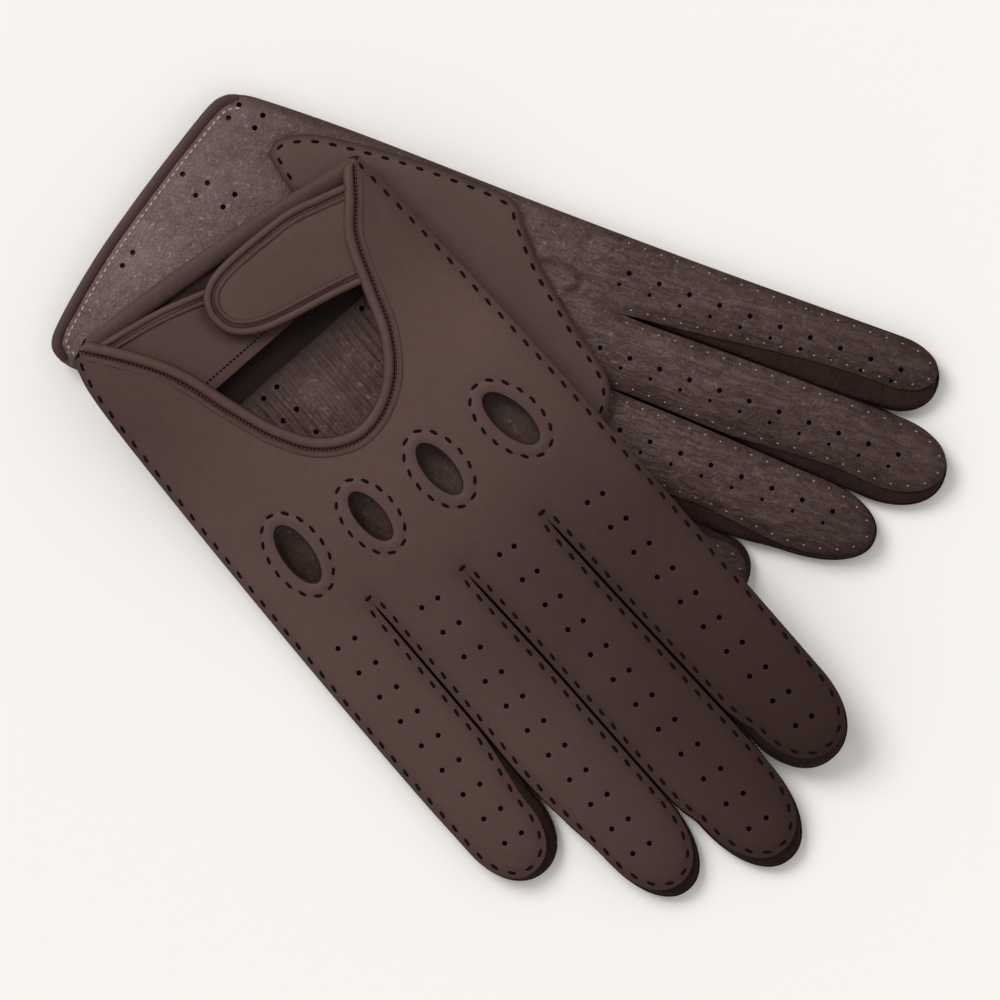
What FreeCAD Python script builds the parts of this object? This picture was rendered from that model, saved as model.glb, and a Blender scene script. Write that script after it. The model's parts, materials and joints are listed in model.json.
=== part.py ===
"""A pair of leather driving gloves lying flat: the right glove, back up, across the left glove, palm up.

Each glove is drawn in its own frame: u runs from the wrist to the fingertips, v towards the index side,
and w is the height above the middle of the flattened glove, positive towards the back of the hand.
The left glove lies flat on its back. The right glove drapes over it, so its layers follow a ramp.
"""
import FreeCAD, Part
import math
import os

Vec = FreeCAD.Vector

# Leather and the flattened glove
LEATHER = 1.0
HALF = 4.0                  # half the thickness of a glove that lies flat
INNER = HALF - LEATHER      # half the hollow inside it
SLIT_HALF = 0.4             # half the gap between neighbouring fingers
SEAM_GAP = 0.5              # room left where two pieces are sewn edge to edge

# Finger bends: the palm side and the side walls stop this far from the hinge, the back nearly meets
BEND_GAP = 7.0
BACK_GAP = 0.2
CREASE_GAP = 0.15

# The ramp that the right glove lies on, measured across the left glove
RAMP_LOW_V = -104.0
RAMP_HIGH_V = -44.0
RAMP_LOW = HALF
RAMP_HIGH = 18.6
RAMP_STEPS = 12

# Rolled edges, tab and underlap
BINDING = 6.0
HEM = 5.0
TAB_ROLL = 4.0
BINDING_LOW = 2.2
BINDING_PROUD = 0.8         # how far the rolled edge stands above the back of the right glove
HEM_PROUD = 0.5
TAB_LAYER = (2.4, 3.4)
TAB_ROLL_LAYER = (2.0, 3.9)
LOOP_LAYER = (1.8, 2.4)
HOOK_LAYER = (0.8, 1.5)
UNDERLAP_LAYER = (0.0, 0.8)
UNDERLAP_ROLL_LAYER = (-0.3, 1.4)
TAB_HINGE = ((6.0, 33.5), (34.0, 18.0))
TAB_START = 0.6             # the tab begins this far past its hinge line
STRAP_LAYER = (1.6, 2.2)    # the root of the tab, sewn under the rolled edge
STRAP_REACH = 4.0
STRAP_GAP = 0.1

# Thumbs are pressed flat
THUMB_THICK = 2.8
THUMB_LEATHER = 1.0
LEFT_THUMB_Z = 8.3
RIGHT_THUMB_Z = 11.5
THUMB_PIVOT_RADIUS = 4.0

THREAD = 0.8
THREAD_THICK = 0.25
FINGERS = ("little", "ring", "middle", "index")

RIGHT = {
    "name": "right",
    "origin": (-81.04, 68.94),
    "turn": -49.0,
    "draped": True,
    "proud": BINDING_PROUD,
    "little_edge": [(-4.0, -51.0), (10.0, -54.0), (50.0, -56.3), (100.0, -58.0), (176.0, -58.3)],
    "index_edge": [(5.0, 49.0), (50.0, 50.5), (100.0, 52.0), (203.0, 52.5)],
    "slits": [((104.0, -32.0), (185.0, -32.8)), ((115.0, -6.0), (203.0, -4.8)), ((118.0, 21.5), (208.0, 24.6))],
    "tips": {"little": (176.0, 194.5), "ring": (203.0, 225.0), "middle": (214.0, 237.5), "index": (203.0, 223.5)},
    "tip_low": {"little": -58.3, "ring": -30.8, "middle": -3.2, "index": 25.0},
    "tip_high": {"little": -33.2, "ring": -5.2, "middle": 23.8, "index": 52.5},
    "hinges": {"little": 151.0, "ring": 177.0, "middle": 189.0, "index": 178.0},
    "cutout": [(5.0, 48.0), (13.0, 39.0), (30.0, 29.0), (50.0, 22.5), (63.0, 12.0), (67.5, 0.0),
               (63.0, -12.0), (50.0, -22.5), (30.0, -29.0), (12.0, -35.0), (-4.0, -49.0)],
    "wrist": [(4.0, 48.5), (-2.0, 12.0), (-5.5, -20.0), (-7.0, -46.0)],
    "thumb": [(27.0, 33.0), (31.0, 42.0), (42.0, 46.0), (110.0, 47.5), (128.0, 45.5), (136.0, 38.0),
              (132.0, 30.0), (118.0, 26.0), (60.0, 17.0), (40.0, 21.0)],
    "thumb_z": RIGHT_THUMB_Z,
    "thumb_pivot": (40.0, 33.0),
    "knuckles": [(79.5, -39.0, 20.0, 9.0, -5.0), (85.0, -16.0, 17.5, 8.0, 0.0),
                 (87.7, 7.7, 18.5, 8.5, 0.0), (90.2, 32.5, 20.5, 9.0, 8.0)],
}
LEFT = {
    "name": "left",
    "origin": (-102.44, 79.34),
    "turn": -19.5,
    "draped": False,
    "proud": 0.0,
    "little_edge": [(-4.0, -47.5), (50.0, -49.0), (100.0, -50.0), (180.0, -50.0)],
    "index_edge": [(12.0, 41.5), (20.0, 43.5), (50.0, 44.0), (100.0, 42.6), (212.0, 41.2)],
    "slits": [((122.0, -27.0), (190.0, -30.0)), ((130.0, -0.5), (212.0, -4.9)), ((130.0, 20.2), (219.0, 19.6))],
    "tips": {"little": (180.0, 197.0), "ring": (208.0, 228.5), "middle": (219.0, 241.5), "index": (212.0, 230.5)},
    "tip_low": {"little": -50.0, "ring": -29.6, "middle": -5.6, "index": 20.2},
    "tip_high": {"little": -30.5, "ring": -5.3, "middle": 19.2, "index": 41.2},
    "hinges": {"ring": 187.0, "middle": 193.0, "index": 184.0},
    "cutout": [(12.0, 40.5), (18.0, 33.0), (34.0, 25.0), (54.0, 19.5), (67.0, 10.0), (71.0, -1.0),
               (67.0, -12.0), (54.0, -21.0), (34.0, -27.0), (16.0, -33.0), (-4.0, -46.0)],
    "wrist": [(8.5, 40.5), (-3.0, 8.0), (-11.0, -26.0), (-12.5, -42.0), (-8.0, -46.5)],
    "thumb": [(27.0, 33.0), (31.0, 39.0), (42.0, 41.5), (98.0, 41.0), (104.0, 36.0), (134.0, 4.5),
              (141.0, -8.0), (138.0, -18.0), (126.0, -21.0), (90.0, -4.0), (50.0, 16.0)],
    "thumb_z": LEFT_THUMB_Z,
    "thumb_pivot": (40.0, 31.0),
    "knuckles": [(84.0, -35.0, 18.0, 8.5, -5.0), (89.0, -15.5, 17.5, 8.0, 0.0),
                 (92.0, 5.0, 18.0, 8.5, 0.0), (94.0, 25.5, 19.0, 8.5, 8.0)],
}
TAB = [(6.5, 33.0), (3.5, 22.0), (3.0, 2.0), (5.0, -8.0), (10.0, -12.6), (17.0, -12.6), (22.0, -8.5),
       (26.0, 0.0), (31.0, 19.5)]
PATCH = [(11.0, -5.0), (18.5, -5.0), (20.0, 5.0), (10.0, 5.0)]
UNDERLAP = [(-2.5, -50.0), (27.5, -50.0), (27.5, 4.0), (22.0, 9.0), (8.0, 9.0), (3.0, 4.0)]


# ---- plain geometry in the plane ----

def offset(points, distance):
    """Move an open line sideways, to its left as it runs, keeping its corners sharp."""
    moved = []
    for i, (x, y) in enumerate(points):
        before = points[max(i - 1, 0)]
        after = points[min(i + 1, len(points) - 1)]
        sides = []
        for (ax, ay), (bx, by) in ((before, (x, y)), ((x, y), after)):
            length = math.hypot(bx - ax, by - ay)
            if length > 1e-9:
                sides.append(((ay - by) / length, (bx - ax) / length))
        nx = sum(s[0] for s in sides) / len(sides)
        ny = sum(s[1] for s in sides) / len(sides)
        stretch = distance / (nx * nx + ny * ny)
        moved.append((x + nx * stretch, y + ny * stretch))
    return moved


def band(points, near, far):
    """The outline of a strip that runs along a line, between two distances to its left."""
    return offset(points, near) + offset(points, far)[::-1]


def smooth(points, count):
    """Points evenly spaced along a smooth curve through the given ones."""
    curve = Part.BSplineCurve()
    curve.interpolate([Vec(u, v, 0) for u, v in points])
    return [(p.x, p.y) for p in curve.discretize(count)]


def oval(u, v, length, width, tilt, grow=0.0, count=28):
    """An ellipse, turned by tilt degrees and grown on every side."""
    turn = math.radians(tilt)
    points = []
    for i in range(count):
        t = 2 * math.pi * i / count
        a = (length / 2 + grow) * math.cos(t)
        b = (width / 2 + grow) * math.sin(t)
        points.append((u + a * math.cos(turn) - b * math.sin(turn), v + a * math.sin(turn) + b * math.cos(turn)))
    return points


def at(line, u):
    """The v of a line of points, in order of u, at one u."""
    for (ua, va), (ub, vb) in zip(line, line[1:]):
        if u <= ub:
            return va + (vb - va) * (u - ua) / (ub - ua)
    return line[-1][1]


def part_of(line, start, end):
    """The stretch of a line between two values of u, with its own points kept."""
    inside = [p for p in line if start < p[0] < end]
    return [(start, at(line, start))] + inside + [(end, at(line, end))]


# ---- the pattern of a glove ----

def finger_edges(glove, finger):
    """The low and high edge of a finger, each a line from the wrist or slit to the round of the tip."""
    i = FINGERS.index(finger)
    tip_start = glove["tips"][finger][0]
    if i == 0:
        low = glove["little_edge"]
    else:
        low = [(u, v + SLIT_HALF) for u, v in glove["slits"][i - 1]]
    if i == 3:
        high = glove["index_edge"]
    else:
        high = [(u, v - SLIT_HALF) for u, v in glove["slits"][i]]
    low = [p for p in low if p[0] < tip_start] + [(tip_start, glove["tip_low"][finger])]
    high = [p for p in high if p[0] < tip_start] + [(tip_start, glove["tip_high"][finger])]
    return low, high


def finger_round(glove, finger, count=14):
    """The half ellipse at a fingertip, from the low edge to the high edge."""
    start, end = glove["tips"][finger]
    low = glove["tip_low"][finger]
    high = glove["tip_high"][finger]
    points = []
    for i in range(1, count):
        t = math.pi * i / count
        points.append((start + (end - start) * math.sin(t), (low + high) / 2 - (high - low) / 2 * math.cos(t)))
    return points


def finger_line(glove, finger, start):
    """Round a finger: along its low edge from start, round the tip and back along its high edge."""
    low, high = finger_edges(glove, finger)
    tip_start = glove["tips"][finger][0]
    forward = part_of(low, start, tip_start)
    backward = part_of(high, start, tip_start)[::-1]
    return forward + finger_round(glove, finger) + backward


def hand_line(glove, gap):
    """The outer line of the hand from the little side of the wrist to the index side, round the slits."""
    line = []
    for i, finger in enumerate(FINGERS):
        low, high = finger_edges(glove, finger)
        start_low = low[0][0]
        start_high = high[0][0]
        if finger in glove["hinges"]:
            end = glove["hinges"][finger] - gap
            line += part_of(low, start_low, end) + part_of(high, start_high, end)[::-1]
        else:
            tip_start = glove["tips"][finger][0]
            line += part_of(low, start_low, tip_start) + finger_round(glove, finger)
            line += part_of(high, start_high, tip_start)[::-1]
    return line


# ---- from the pattern to solids ----

def ramp(v):
    """Height of the middle of the right glove above the floor, across the left glove."""
    t = min(max((v - RAMP_LOW_V) / (RAMP_HIGH_V - RAMP_LOW_V), 0.0), 1.0)
    return RAMP_LOW + (RAMP_HIGH - RAMP_LOW) * t * t * (3 - 2 * t)


def ramp_slab(w0, w1):
    """A layer of the draped glove: everything between two heights above its middle."""
    line = [(-220.0, RAMP_LOW)]
    for i in range(RAMP_STEPS + 1):
        v = RAMP_LOW_V + (RAMP_HIGH_V - RAMP_LOW_V) * i / RAMP_STEPS
        line.append((v, ramp(v)))
    line.append((120.0, RAMP_HIGH))
    outline = [Vec(-80, v, z) for v, z in offset(line, w0) + offset(line, w1)[::-1]]
    slab = Part.Face(Part.makePolygon(outline + outline[:1])).extrude(Vec(420, 0, 0))
    return placed(LEFT, slab)


def placed(glove, shape):
    """Put a shape from a glove's own frame into the frame of the pair."""
    x, y = glove["origin"]
    shape.Placement = FreeCAD.Placement(Vec(x, y, 0), FreeCAD.Rotation(Vec(0, 0, 1), glove["turn"]))
    return shape


def prism(points, z0, z1, holes=()):
    """An upright prism with straight sides, with holes right through."""
    face = Part.Face(Part.makePolygon([Vec(u, v, z0) for u, v in points + points[:1]]))
    for hole in holes:
        face = face.cut(Part.Face(Part.makePolygon([Vec(u, v, z0) for u, v in hole + hole[:1]])))
    return face.extrude(Vec(0, 0, z1 - z0))


def layer(glove, points, w0, w1, holes=()):
    """A flat pattern piece between two heights, lying as its glove lies."""
    if not glove["draped"]:
        return placed(glove, prism(points, HALF - w1, HALF - w0, holes))
    solid = placed(glove, prism(points, -10.0, 50.0, holes)).common(SLABS.setdefault((w0, w1), ramp_slab(w0, w1)))
    return Part.makeCompound(solid.Solids) if len(solid.Solids) > 1 else solid.Solids[0]


SLABS = {}


# ---- the pieces ----

def back_panel(glove):
    holes = [oval(*k) for k in glove["knuckles"]]
    outline = hand_line(glove, BACK_GAP) + smooth(glove["cutout"], 40)
    return layer(glove, outline, INNER, HALF, holes)


def palm_panel(glove):
    wrist = offset(smooth(glove["wrist"], 10), HEM)
    return layer(glove, hand_line(glove, BEND_GAP) + wrist, -HALF, -INNER)


def wrist_hem(glove):
    return layer(glove, band(smooth(glove["wrist"], 10), 0.0, HEM), -HALF - HEM_PROUD, -INNER + HEM_PROUD)


def cutout_binding(glove):
    """The rolled edge of the opening in the back of the hand, with the root of the tab sewn under it."""
    roll = layer(glove, band(smooth(glove["cutout"], 40), -BINDING, 0.0), BINDING_LOW, HALF + glove["proud"])
    root = layer(glove, band(tab_hinge(glove), -STRAP_REACH, -STRAP_GAP), *STRAP_LAYER)
    return [roll, root]


def side_strips(glove):
    """The turned edges of the leather along both outer sides of the hand."""
    strips = []
    for finger, name in (("little", "little_edge"), ("index", "index_edge")):
        line = glove[name]
        end = glove["hinges"].get(finger, glove["tips"][finger][0]) - BEND_GAP
        line = part_of(line, line[0][0] + HEM + 1.0, end)
        if finger == "little":
            strips.append(layer(glove, band(line, 0.0, LEATHER), -INNER, INNER))
        else:
            strips.append(layer(glove, band(line, -LEATHER, 0.0), -INNER, INNER))
    return strips


def fourchettes(glove):
    """The walls of the finger bases beside each slit."""
    walls = []
    for i, slit in enumerate(glove["slits"]):
        start = slit[0][0]
        below, above = FINGERS[i], FINGERS[i + 1]
        for finger, side in ((below, 1), (above, 0)):
            edge = finger_edges(glove, finger)[side]
            end = glove["hinges"].get(finger, glove["tips"][finger][0] + BEND_GAP) - BEND_GAP
            line = part_of(edge, start, end)
            outline = band(line, -LEATHER, 0.0) if side else band(line, 0.0, LEATHER)
            walls.append(layer(glove, outline, -INNER, INNER))
    if "little" not in glove["hinges"]:
        tip = finger_round(glove, "little")
        walls.append(layer(glove, band(tip, 0.0, LEATHER), -INNER, INNER))
    return walls


def quirks(glove):
    """The small gussets that close the slits at their roots, and the one at the root of the thumb."""
    pieces = []
    for (u, v), _ in glove["slits"]:
        outline = [(u - 2.6, v), (u - SEAM_GAP / 4, v - 1.4), (u - SEAM_GAP / 4, v + 1.4)]
        pieces.append(layer(glove, outline, -INNER, INNER))
    u, v = glove["thumb_pivot"]
    low = 2 * HALF if not glove["draped"] else glove["thumb_z"] + THUMB_THICK + 0.1
    pieces.append(placed(glove, Part.makeCylinder(THUMB_PIVOT_RADIUS, 0.2, Vec(u, v, low))))
    return pieces


def finger_creases(glove):
    """The soft leather on the palm side and both sides of each finger bend."""
    pieces = []
    for finger, hinge in glove["hinges"].items():
        low, high = finger_edges(glove, finger)
        start = hinge - BEND_GAP
        end = hinge + BEND_GAP - CREASE_GAP
        low = part_of(low, start, end)
        high = part_of(high, start, end)
        pieces.append(layer(glove, low + high[::-1], -HALF, -INNER))
        pieces.append(layer(glove, band(low, 0.0, LEATHER), -INNER, INNER))
        pieces.append(layer(glove, band(high, -LEATHER, 0.0), -INNER, INNER))
    return pieces


def knuckle_facings(glove):
    """The oval rings of leather under the back, round each knuckle hole."""
    return [layer(glove, oval(*k, grow=4.0), 2.4, INNER, [oval(*k)]) for k in glove["knuckles"]]


def wrist_elastic(glove):
    return layer(glove, [(28.0, -42.0), (36.0, -42.0), (36.0, 38.0), (28.0, 38.0)], -INNER, -INNER + 0.6)


def underlap_parts(glove):
    """The strap end that the tab closes on, with its rolled wrist edge and its hook patch."""
    u, v = tab_shift(glove)
    outline = [(a + u, b + v) for a, b in UNDERLAP]
    for i in (0, 1):
        outline[i] = (outline[i][0], at(glove["little_edge"], outline[i][0]) + LEATHER + SEAM_GAP)
    edge = [outline[0], outline[5]]
    inner = offset(edge, -TAB_ROLL)
    strap = [inner[0], outline[1], outline[2], outline[3], outline[4], inner[1]]
    patch = [(a + u, b + v) for a, b in PATCH]
    return (layer(glove, strap, *UNDERLAP_LAYER), layer(glove, band(edge, -TAB_ROLL, 0.0), *UNDERLAP_ROLL_LAYER),
            layer(glove, patch, *HOOK_LAYER), layer(glove, patch, *LOOP_LAYER))


def tab_shift(glove):
    """The left glove is a little longer and narrower, so its tab sits a little further on."""
    return (4.0, -6.0) if glove["name"] == "left" else (0.0, 0.0)


def tab_hinge(glove):
    """The line that the tab folds along, with the tab to its left."""
    u, v = tab_shift(glove)
    return [(a + u, b + v) for a, b in TAB_HINGE[::-1]]


def tab_parts(glove):
    """The closure tab, and the roll round its free edge."""
    u, v = tab_shift(glove)
    outline = [(a + u, b + v) for a, b in TAB]
    curve = smooth(outline, 30)
    inside = placed(glove, prism(band(tab_hinge(glove), TAB_START, 80.0), -10.0, 60.0))
    plate_line = offset(curve, TAB_ROLL)
    plate = layer(glove, plate_line, *TAB_LAYER).common(inside)
    roll = layer(glove, band(curve, 0.0, TAB_ROLL), *TAB_ROLL_LAYER).common(inside)
    return plate, roll


def tip_parts(glove, finger):
    """A fingertip past its bend: the back, the palm side and the wall round it."""
    hinge = glove["hinges"][finger]
    back = layer(glove, finger_line(glove, finger, hinge + BACK_GAP), INNER, HALF)
    line = finger_line(glove, finger, hinge + BEND_GAP)
    palm = layer(glove, line, -HALF, -INNER)
    wall = layer(glove, band(line, 0.0, LEATHER), -INNER, INNER)
    return back, palm, wall


def thumb_parts(glove):
    """The thumb pressed flat: its smooth back piece, and the palm piece with its edge wall."""
    line = glove["thumb"]
    closed = line + line[:1]
    z0 = glove["thumb_z"]
    z1 = z0 + THUMB_THICK
    inner = offset([line[-1]] + closed + [line[1]], -THUMB_LEATHER)[1:-2]
    plate = prism(line, z0, z0 + THUMB_LEATHER)
    wall = prism(line, z0 + THUMB_LEATHER, z1 - THUMB_LEATHER, [inner])
    back = prism(line, z1 - THUMB_LEATHER, z1)
    if glove["draped"]:
        plate, back = prism(line, z1 - THUMB_LEATHER, z1), prism(line, z0, z0 + THUMB_LEATHER)
    return placed(glove, back), placed(glove, plate.fuse(wall).removeSplitter())


def seam_thread(glove):
    """The sewing thread on the upper side of the hand: along its edges, and round the knuckle holes."""
    if glove["draped"]:
        w0, w1 = HALF, HALF + THREAD_THICK
    else:
        w0, w1 = -HALF - THREAD_THICK, -HALF
    runs = []
    for finger, name, near in (("little", "little_edge", 1.4), ("index", "index_edge", -1.4 - THREAD)):
        line = glove[name]
        end = glove["hinges"].get(finger, glove["tips"][finger][0]) - BEND_GAP
        runs.append(layer(glove, band(part_of(line, line[0][0] + 8, end), near, near + THREAD), w0, w1))
    for i, slit in enumerate(glove["slits"]):
        end = min(glove["hinges"].get(f, slit[1][0]) for f in FINGERS[i:i + 2]) - BEND_GAP
        line = part_of(slit, slit[0][0] + 1, end)
        runs.append(layer(glove, band(line, 1.8, 1.8 + THREAD), w0, w1))
        runs.append(layer(glove, band(line, -1.8 - THREAD, -1.8), w0, w1))
    if glove["draped"]:
        for knuckle in glove["knuckles"]:
            runs.append(layer(glove, oval(*knuckle, grow=3.6 + THREAD), w0, w1, [oval(*knuckle, grow=3.6)]))
    return runs


# ---- writing the sub-parts ----

def write(node, shapes):
    """One STEP file per node; several loose pieces of one kind go in as separate solids."""
    if not isinstance(shapes, list):
        shapes = [shapes]
    solids = [s for shape in shapes for s in shape.Solids]
    for solid in solids:
        if not solid.isValid():
            print("not valid:", node)
    shape = solids[0] if len(solids) == 1 else Part.makeCompound(solids)
    shape.exportStep("parts/" + node + ".step")
    box = shape.BoundBox
    print(f"{node:28s} {len(solids):3d}  x {box.XMin:8.2f} {box.XMax:8.2f}  y {box.YMin:8.2f} {box.YMax:8.2f}"
          f"  z {box.ZMin:6.2f} {box.ZMax:6.2f}")


def write_glove(glove):
    side = glove["name"] + "_"
    underlap, underlap_roll, hook, loop = underlap_parts(glove)
    tab, tab_roll = tab_parts(glove)
    thumb_back, thumb_palm = thumb_parts(glove)
    write(side + "back_panel", back_panel(glove))
    write(side + "palm_panel", palm_panel(glove))
    write(side + "side_strips", side_strips(glove))
    write(side + "fourchettes", fourchettes(glove))
    write(side + "quirks", quirks(glove))
    write(side + "finger_creases", finger_creases(glove))
    write(side + "knuckle_facings", knuckle_facings(glove))
    write(side + "cutout_binding", cutout_binding(glove))
    write(side + "wrist_hem", wrist_hem(glove))
    write(side + "wrist_elastic", wrist_elastic(glove))
    write(side + "underlap", underlap)
    write(side + "underlap_binding", underlap_roll)
    write(side + "hook_patch", hook)
    write(side + "seam_thread", seam_thread(glove))
    write(side + "tab", tab)
    write(side + "tab_binding", tab_roll)
    write(side + "loop_patch", loop)
    write(side + "thumb_back", thumb_back)
    write(side + "thumb_palm", thumb_palm)
    for finger in glove["hinges"]:
        back, palm, wall = tip_parts(glove, finger)
        write(side + finger + "_tip_back", back)
        write(side + finger + "_tip_palm", palm)
        write(side + finger + "_tip_fourchette", wall)


os.makedirs("parts", exist_ok=True)
write_glove(LEFT)
write_glove(RIGHT)
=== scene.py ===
"""The look of a pair of leather driving gloves: a right glove, back up, lying across a left glove, palm up.

Each glove is drawn in its own frame, in millimetres: u runs from the wrist to the fingertips, v towards the
index side, and w is the height above the middle of the flattened glove, positive towards the back of the
hand. Everything is turned into metres in the frame of the CAD part when its mesh is made.
"""
import bmesh
import bpy
import json
import math
import numpy as np
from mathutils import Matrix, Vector
from mathutils.geometry import delaunay_2d_cdt

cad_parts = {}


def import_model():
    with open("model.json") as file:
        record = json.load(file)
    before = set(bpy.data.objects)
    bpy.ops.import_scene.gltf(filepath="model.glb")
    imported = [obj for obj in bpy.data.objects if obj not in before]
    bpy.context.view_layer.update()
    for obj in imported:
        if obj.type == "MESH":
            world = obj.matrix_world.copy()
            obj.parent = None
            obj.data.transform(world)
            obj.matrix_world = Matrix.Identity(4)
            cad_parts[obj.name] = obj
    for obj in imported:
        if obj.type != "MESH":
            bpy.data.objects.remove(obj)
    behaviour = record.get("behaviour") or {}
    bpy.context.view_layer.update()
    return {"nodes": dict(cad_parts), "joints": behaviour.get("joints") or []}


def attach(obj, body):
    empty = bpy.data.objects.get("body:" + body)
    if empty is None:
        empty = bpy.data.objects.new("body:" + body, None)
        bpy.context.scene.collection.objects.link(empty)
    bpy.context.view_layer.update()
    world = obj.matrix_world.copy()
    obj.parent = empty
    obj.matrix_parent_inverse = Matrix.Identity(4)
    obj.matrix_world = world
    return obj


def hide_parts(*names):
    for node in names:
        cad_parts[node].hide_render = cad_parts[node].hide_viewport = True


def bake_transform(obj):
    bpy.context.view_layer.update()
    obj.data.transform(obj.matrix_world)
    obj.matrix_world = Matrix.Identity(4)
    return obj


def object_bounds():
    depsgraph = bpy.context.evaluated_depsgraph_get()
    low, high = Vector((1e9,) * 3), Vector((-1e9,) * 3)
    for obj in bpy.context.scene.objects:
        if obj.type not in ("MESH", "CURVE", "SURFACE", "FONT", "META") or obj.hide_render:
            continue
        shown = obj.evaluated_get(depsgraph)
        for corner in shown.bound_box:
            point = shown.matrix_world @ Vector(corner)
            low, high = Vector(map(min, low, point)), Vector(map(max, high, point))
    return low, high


MM = 0.001
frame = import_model()

# Leather, in millimetres
HALF = 4.0                  # half the thickness of a glove that lies flat
SKIN = 0.9                  # thickness of one layer of leather as it is drawn
GUSSET_SKIN = 0.8           # and of the gussets between the faces of a finger,
GUSSET_ROWS = 9             # which have this many rows of points from face to face
SPACING = 1.55              # distance between the points of a panel
FINE_SPACING = 1.05         # and of the palm that faces up, whose leather is more uneven
EDGE_STEP = 1.3             # distance between the points of its outline
GATHER = (36.5, 43.0, 60.0, 76.0)   # the palm is gathered between these u, most between the middle two,
GATHER_DEPTH = 0.60         # this deep,
GATHER_PITCH = 2.7          # with this distance from rib to rib
GATHER_SPACING = 0.75       # and this distance between the points
SEAM_RIM = 1.0              # height of a panel's edge above the middle of the glove: at the outer seams,
SLIT_RIM = 1.9              # between the fingers,
ROOT_RIM = 2.6              # and at the roots of the slits
CROWN = 3.85                # height of a panel away from its seams
REACH = 10.5                # how far from a seam the panel is still rising
UPPER_GAP = 0.42            # half the gap between two fingers on the side that faces up
LOWER_GAP = 0.02            # and on the side that lies below
OUTER_LEAD = 5.0            # a finger's side keeps the given points that lie this far before its tip: the
SLIT_LEAD = 0.5             # outer sides of the glove, and the sides along the slits
TIP_ROUNDNESS = 0.92        # the shape of a fingertip: 1 is an ellipse, less is squarer
UNDER_BINDING = 2.0         # how far the back runs on under the rolled edge of its opening
GROOVE_AT = 1.7             # the seam's stitches press a groove this far inside the edge
KNUCKLE_RINGS = (0.7, 1.6, 2.6, 3.3, 3.9, 4.5)      # rings of points round a knuckle hole, and how far out
UNDERLAP_TOP = 0.95         # height of the strap that the tab closes on
THUMB_REACH = 7.0           # how far from its seam the thumb is still rising
THUMB_GAP = 0.02            # half the gap between the thumb's two layers
FINGERS = ("little", "ring", "middle", "index")

# Hand stitches of each side: pitch, then length, width and thickness, slant in degrees, and thread
SEAM_STITCHES = {"back": (5.3, (2.6, 1.2, 0.62), -9.0, "dark_thread"),
                 "palm": (4.9, (0.6, 0.46, 0.36), 0.0, "light_thread")}
STITCH_SIDES = 6            # a stitch is a rounded bar of six sides, with rings of points at these places
STITCH_RINGS = (-0.86, -0.45, 0.45, 0.86)
PALM_SEWN_FROM = 132.0      # the palm's stitches show from this u on

# Dye, creases and painted shade
FLESH_DEPTH = 3.0           # the flesh side's pattern starts this much deeper
FOLD_SHARPNESS = 11.0       # of the long folds in the leather,
FOLD_SHADE = 0.50           # and how much darker painted shade makes them
DARKEST = 0.02              # the least share of its colour that leather keeps
DARK_POWERS = (1.0, 1.22, 1.30)     # dark leather is redder: green and blue fall faster
EVERYWHERE = (-99.0, -98.0)     # a shade that starts here covers the whole width
OUTER_WALL_TONE = 0.54      # painted shade of the gussets on the outer sides of the glove,
HIDDEN_WALL_TONE = 0.16     # and of those between two fingers that touch, nearly black
PALM_CONTRAST = ((1, 0.42), (2, 0.40))      # shading across the palm's ring and middle fingers
WRIST_CREASES = ([(2.0, -46.5), (20.0, -41.0), (42.0, -36.5)], [(8.0, -49.5), (24.0, -46.0), (38.0, -45.0)],
                 [(22.0, -50.0), (34.0, -49.0), (44.0, -52.0)], [(14.0, 47.0), (24.0, 41.0), (40.0, 38.0)])

# Numerical limits
TINY = 1e-12                # the shortest vector that can be scaled
CHUNK = 2000                # how many points are compared with a line at once

# The ramp that the right glove lies on, measured across the left glove
RAMP_LOW_V = -104.0
RAMP_HIGH_V = -44.0
RAMP_LOW = HALF
RAMP_HIGH = 18.6

# A finger's own piece starts before its hinge; the places before and after the hinge go with its two bodies
CUT_BEFORE = 12.0
BEND_REACH = 10.0

# The camera looks straight down, and the photograph's frame is this wide on the floor
VIEW_WIDTH = 288.0
CAMERA_HEIGHT = 2000.0
CAMERA_AT = (-0.44, -1.06)
FLOOR_COLOUR = (0.93, 0.904, 0.863)
FLOOR_SIZE = 6.0
ROOM_LIGHT = 0.62
KEY_LIGHT = 1.80
KEY_SOFTNESS = 30           # degrees across
KEY_DIRECTION = (0.75, -0.75, -1.0)

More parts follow.
